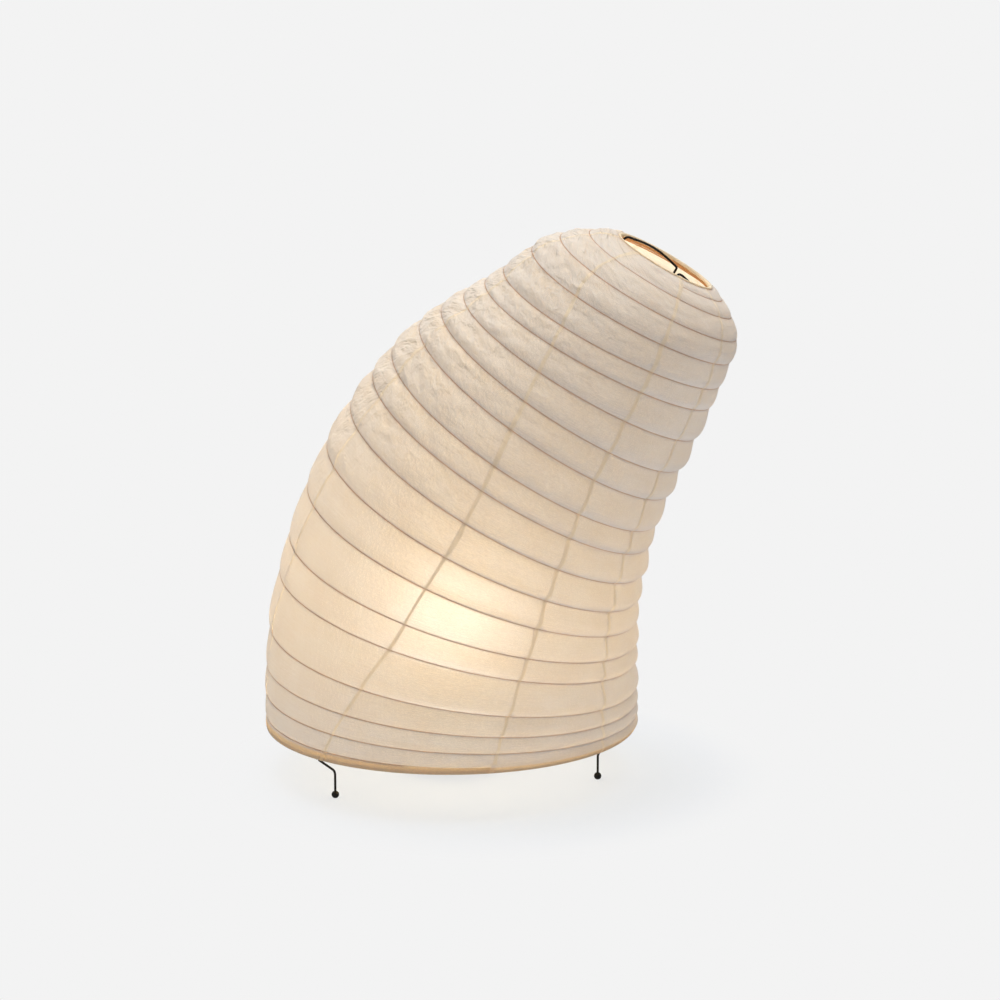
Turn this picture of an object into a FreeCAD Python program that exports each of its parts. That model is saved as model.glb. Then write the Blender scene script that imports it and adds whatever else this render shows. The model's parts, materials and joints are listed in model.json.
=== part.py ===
"""Washi paper table lamp: a leaning paper shade on a spiral bamboo rib, over a three-legged wire stand.

Millimetres, +Z up, floor at Z = 0. The shade leans towards +X in the plane Y = 0. The origin is on the floor
under the middle of the whole lamp: every piece is built about the stand's own axis and then moved by base_x.
"""
import FreeCAD, Part
import bisect
import math
import os
import Sketcher
from FreeCAD import Placement, Rotation, Vector

doc = FreeCAD.newDocument("washi_lamp")

# Driving dimensions

SIZES = {
    # the shade's form, seen from the side
    "ring_height": 38.0,       # bottom edge of the paper above the floor
    "base_radius": 145.5,      # paper at its bottom edge
    "shoulder_radius": 85.5,   # paper where the rounded top begins
    "collar_radius": 38.8,     # paper at the open top
    "shoulder_start": 378.0,   # along the middle line, up to the rounded top
    "shoulder_rise": 37.4,     # along the middle line, through the rounded top
    "shoulder_turn": 75.0,     # how far the rounded top turns inward, 90 being level with the top ring
    "collar_roll": 1.8,        # sideways lean of the top ring, up in front
    "spine_straight": 28.0,    # middle line: upright part
    "spine_bend_radius": 383.0,
    "spine_bend_angle": 39.8,  # lean of the middle line's upper part
    # paper, bamboo and rings
    "paper_thickness": 0.5,
    "seam_gap": 0.3,
    "bulge_share": 0.075,      # how far the paper stands out between turns, per unit of their spacing
    "rib_diameter": 1.4,
    "rib_clearance": 0.35,
    "last_turn_gap": 11.65,    # last turn of the bamboo below the paper's top edge
    "ring_wire": 3.0,
    "ring_clearance": 0.25,
    "hem_thickness": 0.5,
    "bottom_hem_height": 5.0,
    "top_hem_height": 2.0,
    # stand
    "stand_wire": 2.2,
    "leg_wire": 1.8,
    "spoke_inset": 8.0,        # ends of the spokes inside the paper's bottom edge, and below it
    "spoke_drop": 3.1,
    "rest_gap": 0.3,           # between what lifts off and what it rests on
    "foot_inset": 18.0,        # feet inside the spokes' ends
    "first_leg_angle": -123.5,
    "foot_radius": 2.9,
    "foot_flat": 0.3,          # height cut off under each ball
    "leg_bend_height": 21.0,
    "leg_bend_radius": 6.0,
    "weld_gap": 0.1,
    "hub_radius": 34.0,
    "hub_thickness": 1.6,
    "spoke_overlap": 8.0,      # how far a spoke runs in under the hub
    # harp
    "harp_wire": 1.8,
    "harp_foot_spacing": 60.0,
    "harp_socket_height": 14.0,
    "harp_socket_wall": 1.2,
    "harp_bow": 54.0,          # half width of the bow round the bulb
    "harp_foot_bend": 12.0,    # bend radii, from the sockets up
    "harp_bow_bend": 40.0,
    "harp_long_bend": 60.0,
    "harp_throat_bend": 20.0,
    "harp_throat_out": 4.0,    # where the legs come up to the collar, outside the seats
    "harp_throat_drop": 12.0,  # and below them
    "harp_seat": 5.0,          # flat stretch under the top ring, on its high side
    "harp_left_rise": 1.0,     # where the wire comes up inside the ring, over the collar's plane
    "harp_crest": 5.5,         # rise of the crest over the collar's plane
    "harp_crest_place": 12.0,  # from the collar's middle, towards its high side
    "harp_crest_bend": 60.0,
    "harp_dip_lip": 0.5,       # height of the wire where it turns down into the small U
    "harp_dip": 8.0,           # bottom of the U below the collar's plane
    "harp_dip_width": 3.2,
    "harp_dip_place": 11.6,    # from the collar's middle, towards its low side
    "harp_hump": 2.8,          # top of the low hump past the U, below the collar's plane
    "harp_hump_run": 14.0,     # from the U down to the seat on the low side
    # lampholder
    "holder_radius": 19.0,
    "holder_wall": 2.0,
    "holder_floor": 3.0,
    "holder_cap_height": 19.0,
    "holder_shell_height": 34.0,
    "insulator_height": 6.0,
    "insulator_drop": 2.0,     # insulator's underside above the joint of cap and shell
    "thread_clearance": 0.5,   # between the bulb's cap and the sleeve
    "sleeve_wall": 0.6,
    "sleeve_height": 24.0,
    "nipple_radius": 5.0,
    "nipple_bore": 3.6,
    "nipple_below_hub": 7.0,
    "nipple_above_hub": 9.0,
    "part_gap": 0.1,
    "washer_thickness": 0.8,
    "nut_width": 14.0,
    "nut_height": 4.0,
    "inlet_bore": 3.2,
    "inlet_length": 12.0,
    "inlet_barrel": 4.9,
    "inlet_flange": 6.8,
    "inlet_flange_thickness": 2.4,
    "inlet_inside": 2.0,       # how far the inlet's barrel stands into the cap
    "inlet_height": 10.0,      # its axis above the hub
    "terminal_spacing": 22.0,
    "terminal_head": 3.0,
    "terminal_head_height": 2.4,
    "terminal_slot_width": 0.9,
    "terminal_slot_depth": 0.8,
    "terminal_shank": 1.5,
    "terminal_depth": 3.0,     # shank within the insulator
    "contact_length": 16.0,
    "contact_width": 6.0,
    "contact_thickness": 0.8,
    "contact_crown": 6.0,      # raised middle of the contact strip
    "contact_ramp": 1.5,
    "contact_rise": 1.8,
    # bulb
    "globe_radius": 30.0,
    "glass_wall": 0.8,
    "neck_clearance": 0.2,     # between the globe's neck and the inside of the cap
    "neck_angle": 58.0,        # where the ball turns into the neck, below its middle
    "cap_radius": 13.0,
    "cap_wall": 0.5,
    "cap_height": 22.0,
    "tip_radius": 4.5,
    "tip_bevel": 1.5,
    "tip_height": 1.7,
    "tip_gap": 0.3,
    "cap_insulator_height": 5.0,
    "cap_insulator_seat": 1.0,  # how far the insulator stands into the cap
    "neck_seat": 0.8,          # how far the globe's neck stands into the cap
    "stem_radius": 4.0,
    "stem_height": 18.0,
    "stem_flare_height": 12.0,
    "filament_wire": 0.8,
    "filament_lead_rise": 13.0,  # from the stem's top up to the bent sides
    "filament_spread": 12.0,
    "filament_side_bend": 4.0,
    "filament_top_bend": 6.0,
}

# Lean of the shade's rings, at shares of the middle line's length
TILT_SHARES = [0.0, 0.2167, 0.4574, 0.674, 0.8426, 1.0]
TILT_DEGREES = [0.0, 13.2, 28.0, 32.0, 25.8, 29.6]

# Spacing of the bamboo's turns along the paper, from the bottom edge up, as wound by hand. On paper of
# another length the turns keep these proportions.
TURN_SPACING = [5.6, 12.6, 15.5, 20.2, 34.0, 21.3, 30.1, 27.3, 29.0, 26.7,
                19.7, 27.9, 21.8, 23.0, 21.1, 15.6, 22.2, 22.8, 20.8, 15.6]
FIRST_TURN = 1             # the winding starts above the bottom ring

# Seams between the paper gores, in degrees round the bottom edge from the side that the shade leans to, the
# same in front and behind, and how far they are drawn round to that side, at shares of the paper's length
SEAM_DEGREES = [25.2, 65.0, 118.5, 159.5]
DRAW_SHARES = [0.0, 0.12, 0.25, 0.46, 0.63, 0.79, 0.88, 1.0]
DRAW_DEGREES = [0.0, 10.5, 19.0, 24.5, 20.5, 11.5, 4.0, 0.0]

# The harp's way up inside the shade: share of the middle line's length, then the places of its left and right
# legs across the ring there, as shares of the paper's radius
HARP_WAY = [(0.62, -0.53, 0.22), (0.84, -0.51, 0.36)]

LEG_NAMES = ["left", "right", "rear"]
CUT_MARGIN = 1.0           # how far a cutting tool runs past the faces that it cuts
SEW_TOLERANCE = 0.001
PAPER_ROWS = 160           # points up one gore
PAPER_COLUMNS = 6          # points across one gore
SPARE_POINTS = 4           # points past each edge, which keep the edge's slope true

sheet = doc.addObject("Spreadsheet::Sheet", "sizes")


def add_size(row, alias, value):
    sheet.set("A%d" % row, alias)
    sheet.set("B%d" % row, str(value))
    sheet.setAlias("B%d" % row, alias)


def fill_sheet():
    cells = dict(SIZES)
    for index, (share, tilt) in enumerate(zip(TILT_SHARES, TILT_DEGREES)):
        cells["tilt_share_%d" % index] = share
        cells["tilt_angle_%d" % index] = tilt
    for index, spacing in enumerate(TURN_SPACING):
        cells["turn_spacing_%d" % index] = spacing
    for index, angle in enumerate(SEAM_DEGREES):
        cells["seam_angle_%d" % index] = angle
    for index, (share, draw) in enumerate(zip(DRAW_SHARES, DRAW_DEGREES)):
        cells["draw_share_%d" % index] = share
        cells["draw_angle_%d" % index] = draw
    for row, (alias, value) in enumerate(cells.items(), start=1):
        add_size(row, alias, value)
    doc.recompute()
    return {alias: float(sheet.get(alias)) for alias in cells}


size = fill_sheet()

# The shade's form

shoulder_length = math.pi / 2 * math.sqrt(
    (size["shoulder_rise"] ** 2 + (size["shoulder_radius"] - size["collar_radius"]) ** 2) / 2)
paper_length = size["shoulder_start"] + shoulder_length
spine_length = size["shoulder_start"] + size["shoulder_rise"]
tilt_places = [size["tilt_share_%d" % i] * spine_length for i in range(len(TILT_SHARES))]
tilt_angles = [math.radians(size["tilt_angle_%d" % i]) for i in range(len(TILT_DEGREES))]
turn_spacing = [size["turn_spacing_%d" % i] for i in range(len(TURN_SPACING))]
turn_scale = (paper_length - size["last_turn_gap"]) / sum(turn_spacing)
turn_heights = [turn_scale * sum(turn_spacing[:count]) for count in range(len(turn_spacing) + 1)]
turn_numbers = [float(count) for count in range(len(turn_heights))]
seam_angles = [math.radians(size["seam_angle_%d" % i]) for i in range(len(SEAM_DEGREES))]
draw_places = [size["draw_share_%d" % i] * paper_length for i in range(len(DRAW_SHARES))]
draw_angles = [math.radians(size["draw_angle_%d" % i]) for i in range(len(DRAW_DEGREES))]


def curve_through(places, values, place):
    """Smooth curve through the values, with slopes taken from each value's neighbours."""
    last = len(places) - 1
    index = min(max(bisect.bisect_right(places, place) - 1, 0), last - 1)

    def slope(i):
        before = max(i - 1, 0)
        after = min(i + 1, last)
        return (values[after] - values[before]) / (places[after] - places[before])

    width = places[index + 1] - places[index]
    t = (place - places[index]) / width
    start = values[index] * (1 + 2 * t) * (1 - t) ** 2 + slope(index) * width * t * (1 - t) ** 2
    end = values[index + 1] * t * t * (3 - 2 * t) - slope(index + 1) * width * t * t * (1 - t)
    return start + end


def spine_point(along):
    """Middle line of the shade, from the paper's bottom edge: upright, then a wide bend, then straight."""
    bend = math.radians(size["spine_bend_angle"])
    radius = size["spine_bend_radius"]
    turned = min(max((along - size["spine_straight"]) / radius, 0.0), bend)
    beyond = max(along - size["spine_straight"] - radius * bend, 0.0)
    x = radius * (1 - math.cos(turned)) + beyond * math.sin(bend)
    z = min(along, size["spine_straight"]) + radius * math.sin(turned) + beyond * math.cos(bend)
    return Vector(x, 0, z + size["ring_height"])


def taper_radius(along):
    drop = size["base_radius"] - size["shoulder_radius"]
    return size["base_radius"] - drop * (along / size["shoulder_start"]) ** 2


def paper_profile(up):
    """Place on the middle line, and radius, for a place up along the paper."""
    if up <= size["shoulder_start"]:
        return up, taper_radius(up)
    end = math.radians(size["shoulder_turn"])
    turn = (up - size["shoulder_start"]) / shoulder_length * end
    along = size["shoulder_start"] + size["shoulder_rise"] * math.sin(turn) / math.sin(end)
    inward = (1 - math.cos(turn)) / (1 - math.cos(end))
    taper = taper_radius(along)
    return along, taper + (size["collar_radius"] - taper) * inward


def ring_axes(along):
    """The leaning ring's own axes: down the lean, sideways, and square to the ring."""
    tilt = curve_through(tilt_places, tilt_angles, along)
    rounded = min(max((along - size["shoulder_start"]) / size["shoulder_rise"], 0.0), 1.0)
    roll = math.radians(size["collar_roll"]) * rounded * rounded * (3 - 2 * rounded)
    across = Vector(math.cos(tilt), 0, -math.sin(tilt))
    upright = Vector(math.sin(tilt), 0, math.cos(tilt))
    sideways = Vector(0, math.cos(roll), 0) - upright * math.sin(roll)
    normal = upright * math.cos(roll) + Vector(0, math.sin(roll), 0)
    return across, sideways, normal


def shade_point(up, angle):
    along, radius = paper_profile(up)
    across, sideways, _ = ring_axes(along)
    return spine_point(along) + across * (radius * math.cos(angle)) + sideways * (radius * math.sin(angle))


def shade_normal(up, angle):
    step_up = 0.5
    step_round = 0.01
    along = shade_point(up + step_up, angle) - shade_point(up - step_up, angle)
    around = shade_point(up, angle + step_round) - shade_point(up, angle - step_round)
    return around.cross(along).normalize()


def turn_angle(turn):
    """The winding climbs clockwise seen from above, and comes to the front at whole turns."""
    return -math.pi / 2 - 2 * math.pi * turn


def bulge(up, angle):
    """How far the paper stands out between two turns, fullest below the middle, and nowhere at its edges."""
    turn = curve_through(turn_heights, turn_numbers, min(max(up, 0.0), turn_heights[-1]))
    above = curve_through(turn_numbers, turn_heights, min(turn + 0.5, turn_numbers[-1]))
    below = curve_through(turn_numbers, turn_heights, max(turn - 0.5, 0.0))
    phase = (turn + (angle + math.pi / 2) / (2 * math.pi)) % 1.0
    fullness = (1 - math.cos(2 * math.pi * phase ** 0.8)) / 2
    edge = max(min(up, paper_length - up, size["bottom_hem_height"]), 0.0) / size["bottom_hem_height"]
    fade = edge * edge * (3 - 2 * edge)
    return size["bulge_share"] * (above - below) * fullness * fade


def lamp_centre_x():
    """Middle of the whole lamp from left to right, measured from the stand's axis."""
    samples = 80
    ups = [paper_length * step / samples for step in range(samples + 1)]
    left = min(shade_point(up, math.pi).x - bulge(up, math.pi) for up in ups)
    right = max(shade_point(up, 0.0).x + bulge(up, 0.0) for up in ups)
    return (left + right) / 2


base_x = -lamp_centre_x()
base_shift = Vector(base_x, 0, 0)

# Places that follow from the sizes

collar_across, collar_sideways, collar_normal = ring_axes(spine_length)
collar_centre = spine_point(spine_length)
collar_rotation = Rotation(collar_across, collar_sideways, collar_normal, "ZXY")
paper_half = size["paper_thickness"] / 2
ring_half = size["ring_wire"] / 2
collar_slope = max(
    math.asin((shade_point(paper_length, angle) - shade_point(paper_length - size["ring_wire"], angle))
              .normalize().dot(collar_normal)) for angle in (0.0, math.pi / 2, math.pi, -math.pi / 2))
ring_sink = (paper_half + size["ring_clearance"] + ring_half) / math.cos(collar_slope) \
    + ring_half * math.tan(collar_slope)

spoke_circle = size["base_radius"] - size["spoke_inset"]
foot_circle = spoke_circle - size["foot_inset"]
spoke_z = size["ring_height"] - size["spoke_drop"]
hub_z = spoke_z + size["stand_wire"] / 2 + size["weld_gap"]
hub_top = hub_z + size["hub_thickness"]
foot_z = size["foot_radius"] - size["foot_flat"]

cap_z = hub_top + size["part_gap"]
inlet_z = hub_top + size["inlet_height"]
shell_z = cap_z + size["holder_cap_height"] + size["part_gap"]
insulator_z = shell_z + size["insulator_drop"]
sleeve_z = insulator_z + size["insulator_height"] + size["part_gap"]
washer_z = hub_z - size["weld_gap"] - size["washer_thickness"]
nut_z = washer_z - size["part_gap"] - size["nut_height"]

tip_z = sleeve_z + size["contact_rise"] + size["tip_gap"]
cap_insulator_z = tip_z + size["tip_height"] + size["part_gap"]
bulb_cap_z = cap_insulator_z + size["cap_insulator_height"] - size["cap_insulator_seat"]
neck_radius = size["cap_radius"] - size["cap_wall"] - size["neck_clearance"]
neck_angle = math.radians(size["neck_angle"])
neck_curve = (size["globe_radius"] * math.cos(neck_angle) - neck_radius) / (1 - math.cos(neck_angle))
neck_z = bulb_cap_z + size["cap_height"] - size["neck_seat"]
globe_z = neck_z + (size["globe_radius"] + neck_curve) * math.sin(neck_angle)

# Helpers


def placed(position=Vector(0, 0, 0), rotation=Rotation()):
    """A placement given about the stand's axis."""
    return Placement(position + base_shift, rotation)


def feature(label, shape):
    """A sub-part whose shape is made about the stand's axis."""
    piece = doc.addObject("Part::Feature", label)
    piece.Label = label
    piece.Shape = shape
    piece.Placement = placed()
    return piece


def primitive(kind, label, placement, **sizes):
    """A primitive whose sizes are expressions on the sheet."""
    piece = doc.addObject("Part::" + kind, label)
    piece.Label = label
    for name, expression in sizes.items():
        piece.setExpression(name, expression)
    piece.Placement = placement
    return piece


def cut(label, base, tool):
    piece = doc.addObject("Part::Cut", label)
    piece.Label = label
    piece.Base = base
    piece.Tool = tool
    return piece


def fuse(label, pieces):
    piece = doc.addObject("Part::MultiFuse", label)
    piece.Label = label
    piece.Shapes = pieces
    return piece


def tube(label, placement, outer, inner, height):
    """A round tube along its placement's Z, with the bore run past both ends."""
    body = primitive("Cylinder", label + "_body", placement, Radius=outer, Height=height)
    bore_placement = placement * Placement(Vector(0, 0, -CUT_MARGIN), Rotation())
    bore = primitive("Cylinder", label + "_bore", bore_placement, Radius=inner, Height=through(height))
    return cut(label, body, bore)


def through(height):
    """The height of a tool that starts a margin below a piece of this height and ends a margin above it."""
    return "%s + %g" % (height, 2 * CUT_MARGIN)


def upright(height):
    return placed(Vector(0, 0, height))


def rounded_path(points, radii):
    """Straight runs joined by tangent arcs of the given radii."""
    edges = []
    start = points[0]
    for before, corner, after, radius in zip(points, points[1:], points[2:], radii):
        into = (corner - before).normalize()
        out = (after - corner).normalize()
        half_turn = into.getAngle(out) / 2
        trim = radius * math.tan(half_turn)
        first = corner - into * trim
        last = corner + out * trim
        inward = (out - into).normalize()
        middle = corner + inward * (radius / math.cos(half_turn) - radius)
        edges.append(Part.LineSegment(start, first).toShape())
        edges.append(Part.Arc(first, middle, last).toShape())
        start = last
    edges.append(Part.LineSegment(start, points[-1]).toShape())
    return Part.Wire(edges)


def wire_along(path, diameter):
    """A round wire along a path of lines and arcs."""
    first = path.OrderedEdges[0]
    direction = first.tangentAt(first.FirstParameter)
    start = first.valueAt(first.FirstParameter)
    section = Part.Wire(Part.makeCircle(diameter / 2, start, direction))
    return path.makePipeShell([section], True, False)


# Paper gores


def seam_angle(angle, up):
    """Angle of a seam at a place up along the paper, from its angle at the bottom edge."""
    draw = curve_through(draw_places, draw_angles, up)
    return angle - draw * math.sin(angle) * (1 - math.cos(angle))


def paper_face(start_seam, end_seam, offset):
    """One side of a gore, drawn through points that run past its edges and then trimmed to them."""
    half_gap = size["seam_gap"] / 2 / size["base_radius"]
    rows = []
    for row in range(-SPARE_POINTS, PAPER_ROWS + SPARE_POINTS):
        up = paper_length * row / (PAPER_ROWS - 1)
        start_angle = seam_angle(start_seam, up) + half_gap
        end_angle = seam_angle(end_seam, up) - half_gap
        points = []
        for column in range(-SPARE_POINTS, PAPER_COLUMNS + SPARE_POINTS):
            angle = start_angle + (end_angle - start_angle) * column / (PAPER_COLUMNS - 1)
            points.append(shade_point(up, angle) + shade_normal(up, angle) * (bulge(up, angle) + offset))
        rows.append(points)
    surface = Part.BSplineSurface()
    surface.interpolate(rows)
    up_knots = surface.getUKnots()
    round_knots = surface.getVKnots()
    last = -1 - SPARE_POINTS
    surface.segment(up_knots[SPARE_POINTS], up_knots[last], round_knots[SPARE_POINTS], round_knots[last])
    return surface


def border_edges(surface):
    u_first, u_last, v_first, v_last = surface.bounds()
    curves = [surface.uIso(u_first), surface.uIso(u_last), surface.vIso(v_first), surface.vIso(v_last)]
    return [curve.toShape() for curve in curves]


def paper_gore(start_seam, end_seam):
    outer = paper_face(start_seam, end_seam, paper_half)
    inner = paper_face(start_seam, end_seam, -paper_half)
    faces = [outer.toShape(), inner.toShape()]
    for outer_edge, inner_edge in zip(border_edges(outer), border_edges(inner)):
        faces.append(Part.makeRuledSurface(outer_edge, inner_edge))
    skin = Part.makeCompound(faces)
    skin.sewShape(SEW_TOLERANCE)
    solid = Part.makeSolid(skin.Shells[0])
    if solid.Volume < 0:
        solid.reverse()
    return solid


def make_gores():
    pieces = []
    front = [-angle for angle in reversed(seam_angles)]
    seams = front + seam_angles + [front[0] + 2 * math.pi]
    for index, (start, end) in enumerate(zip(seams, seams[1:])):
        pieces.append(feature("paper_gore_%d" % (index + 1), paper_gore(start, end)))
    return pieces


# Bamboo winding


def rib_centre(turn):
    up = curve_through(turn_numbers, turn_heights, turn)
    angle = turn_angle(turn)
    inset = paper_half + size["rib_clearance"] + size["rib_diameter"] / 2
    return shade_point(up, angle) - shade_normal(up, angle) * inset


def rib_tangent(turn):
    step = 0.001
    return (rib_centre(turn + step) - rib_centre(turn - step)).normalize()


def arc_from(start, tangent, end):
    """Arc that leaves start along the tangent and ends at end."""
    chord = end - start
    along = chord.dot(tangent)
    side = (chord - tangent * along)
    half = math.atan2(side.Length, along) / 2
    lift = chord.Length / 2 * math.tan(half)
    outward = (tangent * chord.Length - chord * (along / chord.Length)).normalize()
    return Part.Arc(start, start + chord / 2 + outward * lift, end)


def biarc(start, start_tangent, end, end_tangent):
    """Two arcs that meet smoothly, from one point and direction to another."""
    chord = end - start
    both = start_tangent + end_tangent
    a = 2 * (1 - start_tangent.dot(end_tangent))
    b = 2 * chord.dot(both)
    c = -chord.dot(chord)
    reach = (-b + math.sqrt(b * b - 4 * a * c)) / (2 * a)
    joint = (start + end + (start_tangent - end_tangent) * reach) / 2
    first = arc_from(start, start_tangent, joint)
    back = arc_from(end, end_tangent * -1, joint)
    second = Part.Arc(joint, back.value((back.FirstParameter + back.LastParameter) / 2), end)
    return [first, second]


def rib_arcs():
    arcs = []
    steps = 4 * (len(turn_spacing) - FIRST_TURN)
    turns = [FIRST_TURN + step / 4 for step in range(steps + 1)]
    for turn, after in zip(turns, turns[1:]):
        arcs += biarc(rib_centre(turn), rib_tangent(turn), rib_centre(after), rib_tangent(after))
    return arcs


def least_self_gap(arcs):
    """Least distance between one turn and the next, less the bamboo's own thickness."""
    per_arc = 6
    points = []
    for arc in arcs:
        span = arc.LastParameter - arc.FirstParameter
        points += [arc.value(arc.FirstParameter + span * k / per_arc) for k in range(per_arc)]
    half_turn = 4 * per_arc
    least = math.inf
    for index, point in enumerate(points):
        for other in points[index + half_turn:index + 3 * half_turn]:
            least = min(least, point.distanceToPoint(other))
    return least - size["rib_diameter"]


def make_rib():
    arcs = rib_arcs()
    print("bamboo winding: least gap to itself %.2f mm" % least_self_gap(arcs))
    path = Part.Wire([arc.toShape() for arc in arcs])
    return feature("bamboo_rib", wire_along(path, size["rib_diameter"]))


# Rings and hems


def revolved(profile, label, position, rotation=Rotation()):
    """A ring turned from a closed profile of (radius, height) points."""
    corners = [Vector(radius, 0, height) for radius, height in profile]
    face = Part.Face(Part.makePolygon(corners + corners[:1]))
    piece = feature(label, face.revolve(Vector(0, 0, 0), Vector(0, 0, 1), 360))
    piece.Placement = placed(position, rotation)
    return piece


def make_rings():
    top_place = placed(collar_centre - collar_normal * ring_sink, collar_rotation)
    top = primitive("Torus", "top_ring", top_place,
                    Radius1="sizes.collar_radius + sizes.ring_wire / 2", Radius2="sizes.ring_wire / 2")
    bottom_place = placed(Vector(0, 0, size["ring_height"] + size["ring_clearance"] + ring_half))
    bottom = primitive("Torus", "bottom_ring", bottom_place,
                       Radius1="sizes.base_radius - sizes.paper_thickness / 2 - sizes.ring_clearance"
                               " - sizes.ring_wire / 2",
                       Radius2="sizes.ring_wire / 2")
    hem = size["hem_thickness"]
    inside = size["collar_radius"] - size["ring_clearance"]
    hem_foot = paper_half - size["top_hem_height"]
    collar_hem = [(inside - hem, paper_half), (inside, paper_half), (inside, hem_foot),
                  (inside - hem, hem_foot)]
    top_hem = revolved(collar_hem, "top_hem", collar_centre, collar_rotation)
    outer = size["base_radius"] - paper_half - size["ring_clearance"]
    inner = outer - size["ring_wire"] - size["ring_clearance"]
    rim_hem = [(inner - hem, -hem), (outer, -hem), (outer, 0), (inner, 0),
               (inner, size["bottom_hem_height"]), (inner - hem, size["bottom_hem_height"])]
    bottom_hem = revolved(rim_hem, "bottom_hem", Vector(0, 0, size["ring_height"]))
    return [top, bottom, top_hem, bottom_hem]


# Stand


def leg_direction(index):
    angle = math.radians(size["first_leg_angle"] + 360 * index / len(LEG_NAMES))
    return Vector(math.cos(angle), math.sin(angle), 0)


def make_foot(index, name):
    place = placed(leg_direction(index) * foot_circle + Vector(0, 0, foot_z))
    ball = primitive("Sphere", "foot_%s_ball" % name, place, Radius="sizes.foot_radius",
                     Angle1="-asin((sizes.foot_radius - sizes.foot_flat) / sizes.foot_radius)")
    hole = primitive("Cylinder", "foot_%s_hole" % name, place,
                     Radius="sizes.leg_wire / 2 + sizes.part_gap", Height="sizes.foot_radius")
    return cut("foot_" + name, ball, hole)


def make_leg(index, name):
    """A wire from the foot up to the underside of its spoke's end, with one bend."""
    out = leg_direction(index)
    lower = out * foot_circle + Vector(0, 0, foot_z + size["part_gap"])
    bend = out * foot_circle + Vector(0, 0, size["leg_bend_height"])
    spoke_end = out * spoke_circle + Vector(0, 0, spoke_z)
    slope = (spoke_end - bend).normalize()
    below = size["stand_wire"] / 2 + size["weld_gap"] + size["leg_wire"] / 2 * slope.dot(out)
    path = rounded_path([lower, bend, spoke_end - slope * (below / slope.z)], [size["leg_bend_radius"]])
    return feature("leg_" + name, wire_along(path, size["leg_wire"]))


def make_spoke(index, name):
    out = leg_direction(index)
    start = out * (size["hub_radius"] - size["spoke_overlap"]) + Vector(0, 0, spoke_z)
    return primitive("Cylinder", "spoke_" + name, placed(start, Rotation(Vector(0, 0, 1), out)),
                     Radius="sizes.stand_wire / 2",
                     Height="sizes.base_radius - sizes.spoke_inset - sizes.hub_radius + sizes.spoke_overlap")


def origin_plane(body, role):
    return next(plane for plane in body.Origin.OriginFeatures if plane.Role == role)


def make_hub():
    """A stamped disc with a hole for the nipple."""
    body = doc.addObject("PartDesign::Body", "hub_plate")
    body.Label = "hub_plate"
    sketch = body.newObject("Sketcher::SketchObject", "hub_outline")
    sketch.AttachmentSupport = [(origin_plane(body, "XY_Plane"), "")]
    sketch.MapMode = "FlatFace"
    circles = [(size["hub_radius"], "sizes.hub_radius"),
               (size["nipple_radius"], "sizes.nipple_radius + sizes.part_gap")]
    for row, (radius, expression) in enumerate(circles):
        sketch.addGeometry(Part.Circle(Vector(0, 0, 0), Vector(0, 0, 1), radius), False)
        sketch.addConstraint(Sketcher.Constraint("Coincident", row, 3, -1, 1))
        constraint = sketch.addConstraint(Sketcher.Constraint("Radius", row, radius))
        sketch.setExpression("Constraints[%d]" % constraint, expression)
    pad = body.newObject("PartDesign::Pad", "hub_pad")
    pad.Profile = sketch
    pad.setExpression("Length", "sizes.hub_thickness")
    body.Placement = placed(Vector(0, 0, hub_z))
    return body


def make_stand():
    pieces = []
    for index, name in enumerate(LEG_NAMES):
        pieces += [make_leg(index, name), make_foot(index, name), make_spoke(index, name)]
    pieces.append(make_hub())
    return pieces


# Harp


def harp_leg(side, way):
    """Points and bend radii of one leg, from its socket past the bulb and up inside the leaning shade."""
    foot = side * size["harp_foot_spacing"] / 2
    bow = side * size["harp_bow"]
    bottom = hub_top + size["part_gap"]
    above_socket = bottom + size["harp_socket_height"] + 2 * size["harp_wire"]
    corners = [(Vector(foot, 0, bottom), 0.0),
               (Vector(foot, 0, above_socket), size["harp_foot_bend"]),
               (Vector(bow, 0, globe_z - size["globe_radius"]), size["harp_bow_bend"]),
               (Vector(bow, 0, globe_z + size["globe_radius"]), size["harp_long_bend"])]
    for share, radius_share in way:
        along = spine_length * share
        across = ring_axes(along)[0]
        point = spine_point(along) + across * (taper_radius(along) * radius_share)
        corners.append((point, size["harp_long_bend"]))
    return corners


def harp_crest():
    """Points and bend radii over the collar, in the plane of the lean: out along it, and up."""
    wire = size["harp_wire"]
    seat_up = -ring_sink - ring_half - size["rest_gap"] - wire / 2
    seat_out = size["collar_radius"] + ring_half + wire / 2
    seat_in = seat_out - size["harp_seat"]
    throat_out = seat_out + size["harp_throat_out"]
    throat_up = seat_up - size["harp_throat_drop"]
    dip_left = size["harp_dip_place"] - size["harp_dip_width"] / 2
    dip_right = size["harp_dip_place"] + size["harp_dip_width"] / 2
    dip_up = -size["harp_dip"]
    dip_bend = 0.475 * size["harp_dip_width"]
    outline = [(-throat_out, throat_up, size["harp_throat_bend"]),
               (-seat_out, seat_up, wire),
               (-seat_in, seat_up, wire),
               (-seat_in + wire, size["harp_left_rise"], 2 * wire),
               (-size["harp_crest_place"], size["harp_crest"], size["harp_crest_bend"]),
               (dip_left, size["harp_dip_lip"], wire),
               (dip_left, dip_up, dip_bend),
               (dip_right, dip_up, dip_bend),
               (dip_right, -size["harp_hump"], wire),
               (dip_right + 2 * wire, -size["harp_hump"], wire),
               (dip_right + size["harp_hump_run"], seat_up, size["harp_throat_bend"]),
               (seat_out, seat_up, wire),
               (throat_out, throat_up, size["harp_throat_bend"])]
    upright = collar_across.cross(Vector(0, 1, 0))
    return [(collar_centre + collar_across * out + upright * up, radius) for out, up, radius in outline]


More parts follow.
